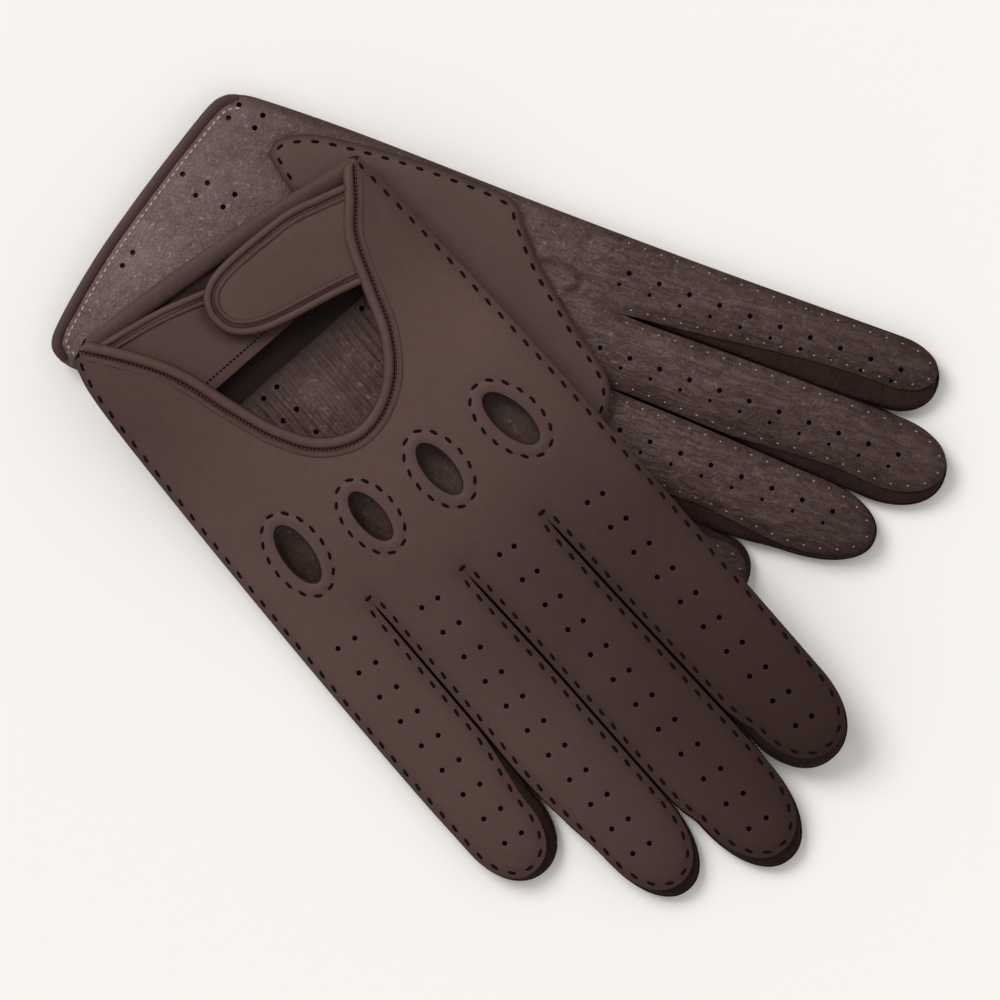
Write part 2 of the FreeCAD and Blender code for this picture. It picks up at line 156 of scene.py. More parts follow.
RIGHT = {
    "name": "right", "origin": (-81.04, 68.94), "turn": -49.0, "draped": True, "up": 1,
    "little_edge": [(-4.0, -51.0), (10.0, -54.0), (50.0, -56.3), (100.0, -58.0), (150.0, -58.6),
                    (176.0, -58.3)],
    "index_edge": [(5.0, 49.0), (50.0, 50.7), (100.0, 52.0), (150.0, 52.4), (203.0, 52.5)],
    "slits": [[(104.0, -32.0), (150.0, -32.6), (174.0, -32.8)], [(115.0, -6.0), (150.0, -5.2), (200.0, -4.9)],
              [(118.0, 21.5), (150.0, 22.3), (201.0, 24.0)]],
    # where the round of each tip starts, and where it ends
    "tips": {"little": (176.0, 194.8), "ring": (202.0, 225.9), "middle": (213.0, 238.4),
             "index": (203.0, 224.2)},
    "tip_low": {"little": -58.3, "ring": -30.0, "middle": -3.2, "index": 24.1},
    "tip_high": {"little": -32.7, "ring": -4.9, "middle": 23.8, "index": 52.5},
    # how far the upper panel's edge stands back: on the low side, on the high side and at the tip
    "inset": {"little": (0.0, 3.4, 2.1), "ring": (0.3, 1.6, 3.1), "middle": (1.8, 0.2, 3.4),
              "index": (4.1, 0.0, 2.3)},
    "inset_from": {"little": (150.0, 182.0), "ring": (198.0, 219.0), "middle": (202.0, 228.0),
                   "index": (192.0, 212.0)},
    "cutout": [(7.5, 48.6), (15.9, 42.0), (23.7, 35.4), (37.0, 30.3), (51.1, 24.8), (62.0, 16.4), (68.2, 5.4),
               (68.8, -5.8), (62.5, -16.8), (50.9, -24.4), (36.7, -29.5), (21.1, -34.3), (9.6, -40.6),
               (-3.5, -50.0)],
    "wrist": [(4.0, 48.5), (-2.0, 12.0), (-5.5, -20.0), (-7.0, -46.0)],
    "thumb": [(27.0, 33.0), (31.0, 42.0), (42.0, 46.0), (110.0, 47.5), (128.0, 45.5), (136.0, 38.0),
              (132.0, 30.0), (118.0, 26.0), (60.0, 17.0), (40.0, 21.0)],
    "thumb_z": 11.5,
    "thumb_base": ((30.0, 32.0), (58.0, 32.0)),
    # knuckle holes: u and v of the middle, length, width and tilt
    "knuckles": [(79.5, -39.0, 20.0, 9.0, -5.0), (85.0, -16.0, 17.5, 8.2, 0.0),
                 (87.7, 7.7, 18.5, 8.6, 0.0), (90.2, 32.5, 20.5, 9.2, 8.0)],
    # punched rows along each finger: first u, pitch, count, then the v of both rows at the start and the end
    "punched": {"index": (122.6, 9.69, 10, (33.2, 38.2), (36.4, 41.6)),
                "middle": (117.4, 9.67, 12, (4.6, 9.3), (6.9, 12.7)),
                "ring": (114.3, 9.3, 11, (-22.2, -16.9), (-22.9, -17.4)),
                "little": (107.4, 9.19, 9, (-48.1, -42.5), (-48.7, -43.1))},
    "tab_shift": (0.0, 0.0),
    # painted shade of the gussets along the slits
    "wall_tone": 0.42,
    "pucker_run": 1.0,
    "pucker": 0.22,
    "row_step": 0.9,
    "hole_radii": (0.78, 0.78),
    # darker, partly dye and partly painted shade: by how much, between which u, and between which v
    "shade": [(-0.22, (20.0, 64.0), EVERYWHERE), (0.16, (60.0, 150.0), EVERYWHERE),
              (0.38, (62.0, 146.0), (-40.0, 36.0)), (0.14, (150.0, 235.0), EVERYWHERE),
              (0.04, (150.0, 235.0), (30.0, -30.0))],
    "shade_start": 0.82,
    "edge_shade": 0.20,
}
LEFT = {
    "name": "left", "origin": (-102.44, 79.34), "turn": -19.5, "draped": False, "up": -1,
    "little_edge": [(-6.0, -47.0), (50.0, -49.0), (100.0, -50.0), (180.0, -50.0)],
    "index_edge": [(12.5, 42.8), (20.0, 43.9), (50.0, 44.1), (100.0, 42.6), (150.0, 41.6), (212.0, 41.2)],
    "slits": [[(130.0, -27.4), (160.0, -28.6), (186.0, -29.2)], [(141.0, -0.8), (170.0, -2.2), (202.5, -4.4)],
              [(138.0, 20.2), (170.0, 20.2), (214.0, 19.8)]],
    "tips": {"little": (187.5, 198.0), "ring": (203.5, 228.5), "middle": (223.0, 241.5),
             "index": (216.5, 230.8)},
    "tip_low": {"little": -50.0, "ring": -28.2, "middle": -6.0, "index": 19.6},
    "tip_high": {"little": -29.3, "ring": -4.6, "middle": 19.2, "index": 41.2},
    "inset": {"little": (0.0, 2.0, 1.0), "ring": (4.6, 0.0, 1.0), "middle": (4.2, 0.3, 0.9),
              "index": (6.2, 0.3, 1.4)},
    "inset_from": {"little": (150.0, 182.0), "ring": (132.0, 165.0), "middle": (172.0, 218.0),
                   "index": (134.0, 212.0)},
    "inset_to": {"ring": (176.0, 212.0)},
    "cutout": [(15.5, 37.5), (20.0, 32.0), (34.0, 25.0), (54.0, 19.5), (67.0, 10.0), (71.0, -1.0),
               (67.0, -12.0), (54.0, -21.0), (34.0, -27.0), (16.0, -33.0), (0.5, -42.0)],
    "wrist": [(13.5, 43.4), (9.6, 41.2), (6.6, 37.0), (2.0, 24.0), (-4.1, 5.0), (-9.6, -15.0), (-13.3, -35.0),
              (-13.0, -43.0), (-8.0, -47.0)],
    "thumb": [(27.2, 29.4), (28.1, 33.6), (32.1, 36.9), (42.0, 40.0), (68.0, 42.0), (96.0, 41.0),
              (103.0, 34.6), (112.0, 24.8), (127.5, 11.8), (139.0, 3.0), (143.2, -4.0), (143.0, -12.0),
              (138.0, -19.0), (126.0, -21.0), (90.0, -4.0), (50.0, 14.5), (36.0, 22.5)],
    "thumb_z": 8.3,
    "thumb_base": ((30.0, 31.0), (60.0, 24.0)),
    "knuckles": [(84.0, -35.0, 18.0, 8.5, -5.0), (89.0, -15.5, 17.5, 8.0, 0.0),
                 (92.0, 5.0, 18.0, 8.5, 0.0), (94.0, 25.5, 19.0, 8.5, 8.0)],
    "punched": {"index": (134.6, 9.2, 10, (28.0, 31.9), (27.9, 31.9)),
                "middle": (133.9, 9.09, 11, (5.6, 9.0), (4.6, 8.7)),
                "ring": (147.1, 9.34, 8, (-15.2, -11.4), (-17.0, -13.0)),
                "little": (140.0, 9.2, 5, (-42.0, -37.6), (-42.0, -37.6))},
    "tab_shift": (4.0, -6.0),
    # painted shade of the gussets along the slits
    "wall_tone": 0.56,
    "pucker_run": 0.25,
    "pucker": 0.42,
    "row_step": 1.6,
    "hole_radii": (0.55, 0.74),
    # darker, partly dye and partly painted shade: by how much, between which u, and between which v
    "shade": [(0.66, (2.0, 70.0), EVERYWHERE), (0.24, (110.0, 150.0), EVERYWHERE),
              (0.22, (155.0, 232.0), EVERYWHERE), (0.36, (-30.0, -20.0), (10.0, 34.0)),
              (-0.36, (30.0, 90.0), (10.0, 34.0))],
    "shade_start": 1.76,
    "edge_shade": 0.45,
    "palm_crease": [(111.5, 27.0), (118.0, 27.6), (122.5, 26.6), (124.0, 23.6), (121.0, 20.4)],
}
RIGHT["inner_holes"] = [(39.5, -12.0), (48.0, -12.0), (56.5, -12.0), (39.5, -17.0), (48.0, -17.0),
                        (38.5, 21.0)]
LEFT["inner_holes"] = [(14.5, 40.2), (22.0, 39.6), (13.0, 35.6), (21.0, 35.4), (6.0, 16.0), (13.5, 16.0),
                       (22.0, 15.5), (11.5, 11.5), (20.0, 11.0), (0.0, -10.0), (-1.5, -14.5)]

# The closure, at the place it has on the right glove
UNDERLAP = [(-2.5, -50.0), (28.6, -50.0), (28.6, 4.0), (22.0, 9.0), (12.0, 9.0), (9.5, 2.0)]
UNDERLAP_EDGE = [(-3.6, -46.5), (-1.6, -34.0), (1.0, -22.0), (4.8, -10.0), (9.5, 2.0)]
TAB = [(6.3, 33.0), (3.5, 22.0), (2.8, 2.0), (4.6, -8.0), (9.8, -12.9), (17.2, -13.1), (22.6, -9.2),
       (26.8, -0.6), (31.6, 19.0)]
TAB_HINGE = [(6.0, 33.5), (34.0, 18.0)]
TAB_ROOT = [(8.6, 40.5), (33.6, 26.0)]
CUFF_FACING = [(6.6, 38.5), (5.0, 33.0), (2.0, 24.0), (-4.1, 5.0), (-9.6, -15.0), (-12.6, -31.0)]

camera = bpy.data.objects.new("camera", bpy.data.cameras.new("camera"))
bpy.context.scene.collection.objects.link(camera)
camera.location = (CAMERA_AT[0] * MM, CAMERA_AT[1] * MM, CAMERA_HEIGHT * MM)
camera.data.angle = 2 * math.atan(VIEW_WIDTH / 2 / CAMERA_HEIGHT)
bpy.context.scene.camera = camera

# ---- plain geometry ----

def smooth_line(points, step=EDGE_STEP):
    """Points evenly spaced along a smooth curve that passes through the given ones."""
    p = np.array([points[0]] + list(points) + [points[-1]], float)
    p[0] = 2 * p[1] - p[2]
    p[-1] = 2 * p[-2] - p[-3]
    fine = []
    t = np.linspace(0, 1, 24, endpoint=False)[:, None]
    for a, b, c, d in zip(p, p[1:], p[2:], p[3:]):
        fine.append(0.5 * (2 * b + (c - a) * t + (2 * a - 5 * b + 4 * c - d) * t ** 2
                           + (3 * b - a - 3 * c + d) * t ** 3))
    fine.append(p[-2:-1])
    return evenly(np.vstack(fine), step)


def lengths(line):
    """How far along an open line each of its points lies."""
    return np.concatenate([[0], np.cumsum(np.hypot(*np.diff(line, axis=0).T))])


def at_lengths(line, at):
    """The points at the given distances along an open line."""
    along = lengths(line)
    return np.stack([np.interp(at, along, line[:, 0]), np.interp(at, along, line[:, 1])], 1)


def evenly(line, step):
    """The same open line with its points an even distance apart."""
    line = np.asarray(line, float)
    total = lengths(line)[-1]
    count = max(2, int(round(total / step)) + 1)
    return at_lengths(line, np.linspace(0, total, count))


def joined(loop):
    """A closed line with its first point again at its end."""
    return np.vstack([loop, loop[:1]])


def unit(vectors):
    """The same vectors, each scaled to length one."""
    return vectors / np.maximum(np.linalg.norm(vectors, axis=-1, keepdims=True), TINY)


def to_left(runs):
    """Unit vectors that point to the left of the given directions."""
    d = unit(runs)
    return np.stack([-d[:, 1], d[:, 0]], 1)


def normals_of(line):
    """Unit normals to the left of an open line."""
    return to_left(np.gradient(np.asarray(line, float), axis=0))


def turned(x, y, degrees):
    """A place or a direction turned anticlockwise about the origin."""
    turn = math.radians(degrees)
    return x * math.cos(turn) - y * math.sin(turn), x * math.sin(turn) + y * math.cos(turn)


def bell(distance, width, at=0.0):
    """1 at the given distance, and falling away smoothly on both sides of it."""
    return np.exp(-((distance - at) / width) ** 2)


def dome(share):
    """How high soft leather stands, from 0 at its seam to 1 at the end of its rise."""
    return 1 - (1 - np.clip(share, 0, 1)) ** 2.2


def ramp_up(x, start, end):
    """0 before start, 1 after end, and smooth between them."""
    t = np.clip((np.asarray(x, float) - start) / (end - start), 0, 1)
    return t * t * (3 - 2 * t)


def oval(u, v, length, width, tilt=0.0, grow=0.0, count=12):
    """An ellipse, turned by tilt degrees and grown on every side."""
    t = np.linspace(0, 2 * math.pi, count, endpoint=False)
    a, b = turned((length / 2 + grow) * np.cos(t), (width / 2 + grow) * np.sin(t), tilt)
    return np.stack([u + a, v + b], 1)


def noise(u, v, size_u, size_v, seed):
    """Smooth random waves between about -1 and 1, of the given sizes along u and v."""
    cells = 97
    grid = np.random.RandomState(seed).uniform(-1, 1, (cells, cells))
    x = np.asarray(u, float) / size_u + 31.7
    y = np.asarray(v, float) / size_v + 47.3
    i = np.floor(x).astype(int)
    j = np.floor(y).astype(int)
    a = ramp_up(x - i, 0, 1)
    b = ramp_up(y - j, 0, 1)
    i0, i1, j0, j1 = i % cells, (i + 1) % cells, j % cells, (j + 1) % cells
    low = grid[i0, j0] * (1 - a) + grid[i1, j0] * a
    high = grid[i0, j1] * (1 - a) + grid[i1, j1] * a
    return low * (1 - b) + high * b


def inside(points, loops):
    """Which points are inside the loops, holes left out, by the even-odd rule."""
    a = np.vstack(loops)
    b = np.vstack([np.roll(loop, -1, axis=0) for loop in loops])
    found = np.zeros(len(points), bool)
    for k in range(0, len(points), CHUNK):
        p = points[k:k + CHUNK]
        straddles = (a[:, 1] > p[:, 1:2]) != (b[:, 1] > p[:, 1:2])
        with np.errstate(divide="ignore", invalid="ignore"):
            x = a[:, 0] + (p[:, 1:2] - a[:, 1]) * (b[:, 0] - a[:, 0]) / (b[:, 1] - a[:, 1])
        found[k:k + CHUNK] = (np.sum(straddles & (p[:, 0:1] < x), axis=1) % 2) == 1
    return found


def squared_distances(points, others):
    """The square of the distance from each point to each of the others."""
    return (points[:, 0:1] - others[:, 0]) ** 2 + (points[:, 1:2] - others[:, 1]) ** 2


def nearest(points, line):
    """For each point, its distance to an open line, and the nearest place, counted in the line's points."""
    points = np.asarray(points, float)
    line = np.asarray(line, float)
    distance = np.full(len(points), np.inf)
    place = np.zeros(len(points))
    for k in range(0, len(points), CHUNK):
        p = points[k:k + CHUNK]
        index = np.argmin(squared_distances(p, line), axis=1)
        for step in (-1, 0):
            i = np.clip(index + step, 0, len(line) - 2)
            run = line[i + 1] - line[i]
            t = np.sum((p - line[i]) * run, axis=1) / np.maximum(np.sum(run ** 2, axis=1), 1e-9)
            t = np.clip(t, 0, 1)
            d = np.hypot(*(p - line[i] - run * t[:, None]).T)
            closer = d < distance[k:k + CHUNK]
            distance[k:k + CHUNK][closer] = d[closer]
            place[k:k + CHUNK][closer] = (i + t)[closer]
    return distance, place


def nearest_point(points, others):
    """For each point, its distance to the nearest of the others."""
    best = np.full(len(points), np.inf)
    for k in range(0, len(points), CHUNK):
        best[k:k + CHUNK] = np.sqrt(np.min(squared_distances(points[k:k + CHUNK], others), axis=1))
    return best


# ---- from a glove's own frame to the frame of the pair ----

def ramp_height(across):
    """Height of the middle of the draped glove above the floor, and its slope, across the left glove."""
    t = np.clip((across - RAMP_LOW_V) / (RAMP_HIGH_V - RAMP_LOW_V), 0, 1)
    rise = RAMP_HIGH - RAMP_LOW
    return RAMP_LOW + rise * t * t * (3 - 2 * t), rise * 6 * t * (1 - t) / (RAMP_HIGH_V - RAMP_LOW_V)


def plan(glove, u, v):
    """Where a point of the glove's own frame lies on the floor, in millimetres."""
    x, y = turned(u, v, glove["turn"])
    return glove["origin"][0] + x, glove["origin"][1] + y


def own_frame(glove, x, y):
    """The u and v in a glove's own frame of a place on the floor."""
    return turned(x - glove["origin"][0], y - glove["origin"][1], -glove["turn"])


def world(glove, u, v, w, flat_z=None):
    """Points of a glove's own frame in metres in the frame of the pair."""
    u, v, w = np.broadcast_arrays(np.asarray(u, float), np.asarray(v, float), np.asarray(w, float))
    x, y = plan(glove, u, v)
    if flat_z is not None:
        return np.stack([x, y, flat_z + w], -1) * MM
    if not glove["draped"]:
        return np.stack([x, y, HALF + glove["up"] * w], -1) * MM
    middle, slope = ramp_height(own_frame(LEFT, x, y)[1])
    return np.stack([x, y, middle + glove["up"] * w * np.sqrt(1 + slope ** 2)], -1) * MM


for glove in (RIGHT, LEFT):
    glove["hinges"] = {}
    for joint in frame["joints"]:
        if joint["name"].startswith(glove["name"]) and joint["name"].endswith("_bend"):
            finger = joint["name"].split("_")[1]
            glove["hinges"][finger] = own_frame(glove, joint["pos_m"][0] / MM, joint["pos_m"][1] / MM)[0]


def parts_of(glove):
    """The numbers of a glove's separate parts: -1 for the hand, then the fingers that bend."""
    return [-1] + [FINGERS.index(finger) for finger in glove["hinges"]]


def part_name(glove, part):
    """The start of the name of a piece that belongs to one part."""
    return glove["name"] + "_" + (FINGERS[part] if part >= 0 else "hand") + "_"


def finger_body(glove, part):
    hand = glove["name"] + "_hand"
    if part < 0:
        return (hand,)
    finger = FINGERS[part]
    u = glove["hinges"][finger]
    v = (glove["tip_low"][finger] + glove["tip_high"][finger]) / 2
    ends = [world(glove, u + reach, v, 0.0, HALF) for reach in (-BEND_REACH, BEND_REACH)]
    return hand, part_name(glove, part) + "tip", ends[0], ends[1]


def divider(glove, i):
    """The line between two neighbouring fingers: their slit, then just outside the side of the longer one."""
    a, b = FINGERS[i], FINGERS[i + 1]
    if glove["tips"][a][0] > glove["tips"][b][0]:
        end = (glove["tips"][a][0], glove["tip_high"][a] + 0.15)
    else:
        end = (glove["tips"][b][0], glove["tip_low"][b] - 0.15)
    return smooth_line(glove["slits"][i] + [end], 1.0).T


def part_at(glove, points):
    """The number of the hinged finger whose own piece each point is on, or -1 on the hand."""
    found = np.full(len(points), -1)
    u, v = np.asarray(points, float).T
    for i, finger in enumerate(FINGERS):
        if finger in glove["hinges"]:
            low = np.interp(u, *divider(glove, i - 1)) if i else -999.0
            high = np.interp(u, *divider(glove, i)) if i < 3 else 999.0
            found[(u > glove["hinges"][finger] - CUT_BEFORE) & (v > low) & (v < high)] = i
    return found


# ---- the outline of a glove ----

def finger_sides(glove, finger, upper):
    """The low and high side of a finger, each in order of u up to the round of the tip."""
    i = FINGERS.index(finger)
    tip_start = glove["tips"][finger][0]
    inset = glove["inset"][finger] if upper else (0.0, 0.0, 0.0)
    inset_from = glove["inset_from"][finger]
    lines = (glove["little_edge"] if i == 0 else glove["slits"][i - 1],
             glove["index_edge"] if i == 3 else glove["slits"][i])
    sides = []
    for side, line in enumerate(lines):
        end_v = (glove["tip_low"], glove["tip_high"])[side][finger]
        outer = (i == 0 and side == 0) or (i == 3 and side == 1)
        before_tip = OUTER_LEAD if outer else SLIT_LEAD
        points = [p for p in line if p[0] < tip_start - before_tip]
        if not outer:
            gap = (UPPER_GAP if upper else LOWER_GAP) * (1 if side == 0 else -1)
            points = [points[0]] + [(p[0], p[1] + gap) for p in points[1:]]
            opening = points[0][0] + 8
            points.insert(1, (opening, np.interp(opening, *np.array(line).T) + gap * 0.9))
        dense = smooth_line(points + [(tip_start, end_v)], 1.0)
        inward = (1 if side == 0 else -1) * inset[side] * ramp_up(dense[:, 0], *inset_from)
        if side == 0 and finger in glove.get("inset_to", {}):
            inward *= 1 - 0.8 * ramp_up(dense[:, 0], *glove["inset_to"][finger])
        sides.append(np.stack([dense[:, 0], dense[:, 1] + inward], 1))
    return sides


def finger_path(glove, finger, upper):
    """Round a finger from the start of its low side, round its tip, to the start of its high side."""
    low, high = finger_sides(glove, finger, upper)
    start, end = glove["tips"][finger]
    end -= glove["inset"][finger][2] if upper else 0.0
    cut = [glove["hinges"][finger] - CUT_BEFORE] if finger in glove["hinges"] else []
    lines = []
    for side in (low, high):
        count = int((start - side[0, 0]) / EDGE_STEP)
        u = np.unique(np.concatenate([np.linspace(side[0, 0], start, count), cut]))
        if cut:
            u = u[(abs(u - cut[0]) > EDGE_STEP * 0.4) | (u == cut[0])]
        lines.append(np.stack([u, np.interp(u, *side.T)], 1))
    middle = (lines[0][-1, 1] + lines[1][-1, 1]) / 2
    half = (lines[1][-1, 1] - lines[0][-1, 1]) / 2
    t = np.linspace(0, math.pi, 40)[1:-1]
    tip = np.stack([start + (end - start) * np.sin(t) ** TIP_ROUNDNESS,
                    middle - half * np.sign(np.cos(t)) * abs(np.cos(t)) ** TIP_ROUNDNESS], 1)
    return np.vstack([lines[0], tip, lines[1][::-1]])


def finger_rim(glove, finger, line):
    """Height of the edge of a panel above the middle of the glove, round one finger."""
    i = FINGERS.index(finger)
    tip_start = glove["tips"][finger][0]
    before_tip = np.arange(len(line)) < np.argmax(line[:, 0])
    outer = (before_tip if i == 0 else np.zeros(len(line), bool)) | (~before_tip if i == 3 else False)
    at_tip = ramp_up(line[:, 0], tip_start, tip_start + 16)
    rim = np.where(outer, SEAM_RIM + (SLIT_RIM - SEAM_RIM) * at_tip, SLIT_RIM)
    root = line[0 if i else -1, 0]
    at_root = 1 - ramp_up(line[:, 0], root, root + 14)
    return rim + np.where(outer, 0.0, ROOT_RIM - SLIT_RIM) * at_root


def seam_path(glove, upper):
    """The sewn outline from the little side of the wrist to the index side, and the height of its rim."""
    lines = []
    rims = []
    for finger in FINGERS:
        line = finger_path(glove, finger, upper)
        rim = finger_rim(glove, finger, line)
        lines.append(line[1:] if lines else line)
        rims.append(rim[1:] if rims else rim)
    return np.vstack(lines), np.concatenate(rims)


def punched_holes(glove, side):
    """Centre and radius of each hole of a panel; the rows of the lower panel are half a pitch further on."""
    upper = (side == "back") == (glove["up"] > 0)
    holes = []
    for first, pitch, count, starts, ends in glove["punched"].values():
        for k in range(count if upper else count - 1):
            t = k / (count - 1)
            for row in (0, 1):
                u = first + k * pitch + row * glove["row_step"] + (0.0 if upper else pitch / 2)
                v = starts[row] + (ends[row] - starts[row]) * t
                holes.append((u, v, glove["hole_radii"][row]))
    if side == "palm":
        holes += [(u, v, 0.8) for u, v in glove["inner_holes"]]
    return holes


# ---- materials ----

def link(tree, kind, **inputs):
    """Add a node, with its inputs given as numbers or as sockets of other nodes."""
    node = tree.nodes.new("ShaderNode" + kind)
    for key, value in inputs.items():
        key = key.replace("_", " ")
        socket = node.inputs[int(key[1:])] if key[0] == "i" and key[1:].isdigit() else node.inputs[key]
        if isinstance(value, bpy.types.NodeSocket):
            tree.links.new(value, socket)
        else:
            socket.default_value = value
    return node


def maths(tree, operation, a, b=0.0, clamp=False):
    """A sum of two numbers or sockets, as a socket."""
    node = link(tree, "Math", i0=a, i1=b)
    node.operation = operation
    node.use_clamp = clamp
    return node.outputs[0]


def vector_maths(tree, operation, a, b):
    """The same for two vectors."""
    node = link(tree, "VectorMath", i0=a, i1=b)
    node.operation = operation
    return node.outputs[0]


def attribute(tree, name, output):
    """A value that is stored at each point of the mesh, as a socket."""
    node = tree.nodes.new("ShaderNodeAttribute")
    node.attribute_name = name
    return node.outputs[output]


def new_material(name, roughness, specular):
    """A material with its node tree and its shader."""
    material = bpy.data.materials.new(name)
    material.use_nodes = True
    tree = material.node_tree
    shader = tree.nodes["Principled BSDF"]
    shader.inputs["Roughness"].default_value = roughness
    shader.inputs["Specular IOR Level"].default_value = specular
    return material, tree, shader


def leather(name, colour, grain, depth, roughness, mottle, specular, lengthwise, painted_glints=0.0):
    """Leather: grain cells of the given size in mm, wrinkles with painted shade, uneven dye and painted
    glints.

    The flesh side, whose pattern starts 3 mm deeper, has a weaker grain. Dark places are also redder.
    """
    material, tree, shader = new_material(name, roughness, specular)

    def times(a, b):
        return maths(tree, "MULTIPLY", a, b)

    def plus(a, b):
        return maths(tree, "ADD", a, b)

    def minus(a, b, clamp=False):
        return maths(tree, "SUBTRACT", a, b, clamp)

    def cloudy(at, scale, detail, rough=0.5, distortion=0.0):
        return link(tree, "TexNoise", Vector=at, Scale=scale, Detail=detail, Roughness=rough,
                    Distortion=distortion).outputs

    place = attribute(tree, "pattern", "Vector")
    tone = attribute(tree, "tone", "Fac")
    cells = tree.nodes.new("ShaderNodeTexVoronoi")
    cells.feature = "SMOOTH_F1"
    warp = cloudy(place, 0.45 / grain, 2.0)["Color"]
    tree.links.new(vector_maths(tree, "ADD", place, warp), cells.inputs["Vector"])
    cells.inputs["Scale"].default_value = 1.0 / grain
    cells.inputs["Smoothness"].default_value = 0.35
    pits = cells.outputs["Distance"]
    fine = cloudy(place, 2.6 / grain, 3.0, 0.6)["Fac"]
    creases = cloudy(place, 0.22 / grain, 4.0, 0.55)["Fac"]
    cloud = cloudy(place, 0.035, 3.0, 0.55)["Fac"]

    # long folds, drawn out along u, which are faint on the hand and full on the fingers
    drawn = vector_maths(tree, "MULTIPLY", place, (0.22, 1.0, 1.0))
    folds = cloudy(drawn, 0.42, 3.0, 0.6, 0.6)["Fac"]
    off_fold = maths(tree, "ABSOLUTE", minus(folds, 0.5))
    fold = minus(1.0, times(off_fold, FOLD_SHARPNESS), clamp=True)
    axes = link(tree, "SeparateXYZ", Vector=place).outputs
    strength = link(tree, "MapRange", Value=axes["X"], From_Min=85.0, From_Max=135.0,
                    To_Min=0.22 * lengthwise, To_Max=lengthwise)
    fold = times(fold, strength.outputs[0])

    relief = times(pits, -1.0)
    for pattern, share in ((fine, 0.45), (creases, 1.1)):
        relief = plus(relief, times(pattern, share))
    flesh = minus(1.0, times(axes["Z"], 0.2), clamp=True)
    relief = times(minus(relief, fold), flesh)
    bump = link(tree, "Bump", Height=relief, Strength=1.0, Distance=depth * MM)
    tree.links.new(bump.outputs["Normal"], shader.inputs["Normal"])

    # each pattern of the dye, its middle value, and how far it lightens the leather
    dyes = ((cloud, 0.5, 1.0), (creases, 0.5, 0.9), (fine, 0.5, 0.3), (pits, 0.45, -0.5))
    # painted shade in the folds
    light = minus(1.0, times(fold, FOLD_SHADE))
    for pattern, middle, share in dyes:
        light = plus(light, times(minus(pattern, middle), share * mottle))
    # painted glints: small bright spots that stand in for highlights
    if painted_glints:
        spots = cloudy(place, 0.55, 2.0, 0.7)["Fac"]
        light = plus(light, times(minus(spots, 0.58, clamp=True), painted_glints))
    light = maths(tree, "MAXIMUM", times(light, tone), DARKEST)
    reddened = vector_maths(tree, "POWER", light, DARK_POWERS)
    mixed = vector_maths(tree, "MULTIPLY", tuple(colour), reddened)
    tree.links.new(mixed, shader.inputs["Base Color"])
    shine = maths(tree, "ADD", times(minus(creases, 0.5), 0.35), roughness, clamp=True)
    tree.links.new(shine, shader.inputs["Roughness"])
    return material


def woven(name, colour, pitch, depth, roughness, carried=False):
    """Twisted thread, webbing or fastener tape: fine slanting strands in two directions.

    A carried-over CAD solid has no pattern of its own, so its place in the frame is used instead.
    """
    material, tree, shader = new_material(name, roughness, specular=0.08)
    if carried:
        place = vector_maths(tree, "MULTIPLY", link(tree, "TexCoord").outputs["Object"], (1 / MM,) * 3)
    else:
        place = attribute(tree, "pattern", "Vector")
    strands = link(tree, "TexWave", Vector=place, Scale=0.31 / pitch, Distortion=1.5)
    strands.bands_direction = "DIAGONAL"
    fuzz = link(tree, "TexNoise", Vector=place, Scale=3.0, Detail=2.0)
    relief = maths(tree, "MULTIPLY", fuzz.outputs["Fac"], 0.6)
    relief = maths(tree, "ADD", strands.outputs["Fac"], relief)
    bump = link(tree, "Bump", Height=relief, Strength=1.0, Distance=depth * MM)
    tree.links.new(bump.outputs["Normal"], shader.inputs["Normal"])
    light = maths(tree, "ADD", maths(tree, "MULTIPLY", relief, 0.35), 0.7)
    mixed = link(tree, "VectorMath", i0=tuple(colour))
    mixed.operation = "SCALE"
    tree.links.new(light, mixed.inputs["Scale"])
    tree.links.new(mixed.outputs[0], shader.inputs["Base Color"])
    return material


BROWN = np.array([0.0885, 0.0520, 0.0445])
ROLL_BROWN = BROWN * (0.80, 0.75, 0.73)
MATERIALS = {
    "back": leather("smooth_back_leather", BROWN * 1.03, grain=0.55, depth=0.05, roughness=0.6, mottle=0.22,
                    specular=0.12, lengthwise=0.03),
    "palm": leather("grained_palm_leather", BROWN * 1.02, grain=0.9, depth=0.15, roughness=0.50, mottle=0.80,
                    specular=0.22, lengthwise=0.75, painted_glints=5.6),
    # the gussets are the same leather as the faces, drawn at half its colour: painted shade
    "wall": leather("gusset_leather", BROWN * 0.5, grain=0.7, depth=0.16, roughness=0.6, mottle=0.7,
                    specular=0.06, lengthwise=0.6),
    "roll": leather("rolled_edge_leather", ROLL_BROWN, grain=0.5, depth=0.05, roughness=0.5, mottle=0.35,
                    specular=0.10, lengthwise=0.0),
    "dark_thread": woven("dark_thread", BROWN * 0.045, pitch=0.35, depth=0.06, roughness=0.8),
    "brown_thread": woven("brown_thread", BROWN * 0.9, pitch=0.3, depth=0.05, roughness=0.6),
    "light_thread": woven("light_thread", (0.40, 0.31, 0.28), pitch=0.35, depth=0.06, roughness=0.6),
    # nearly black, so that the elastic reads as the shadow of the strap and tab over it: painted shadow
    "elastic": woven("elastic_webbing", BROWN * 0.15, pitch=0.8, depth=0.08, roughness=0.8, carried=True),
    "fastener": woven("fastener_tape", BROWN * 0.3, pitch=0.5, depth=0.3, roughness=0.9, carried=True),
}


# ---- pieces ----

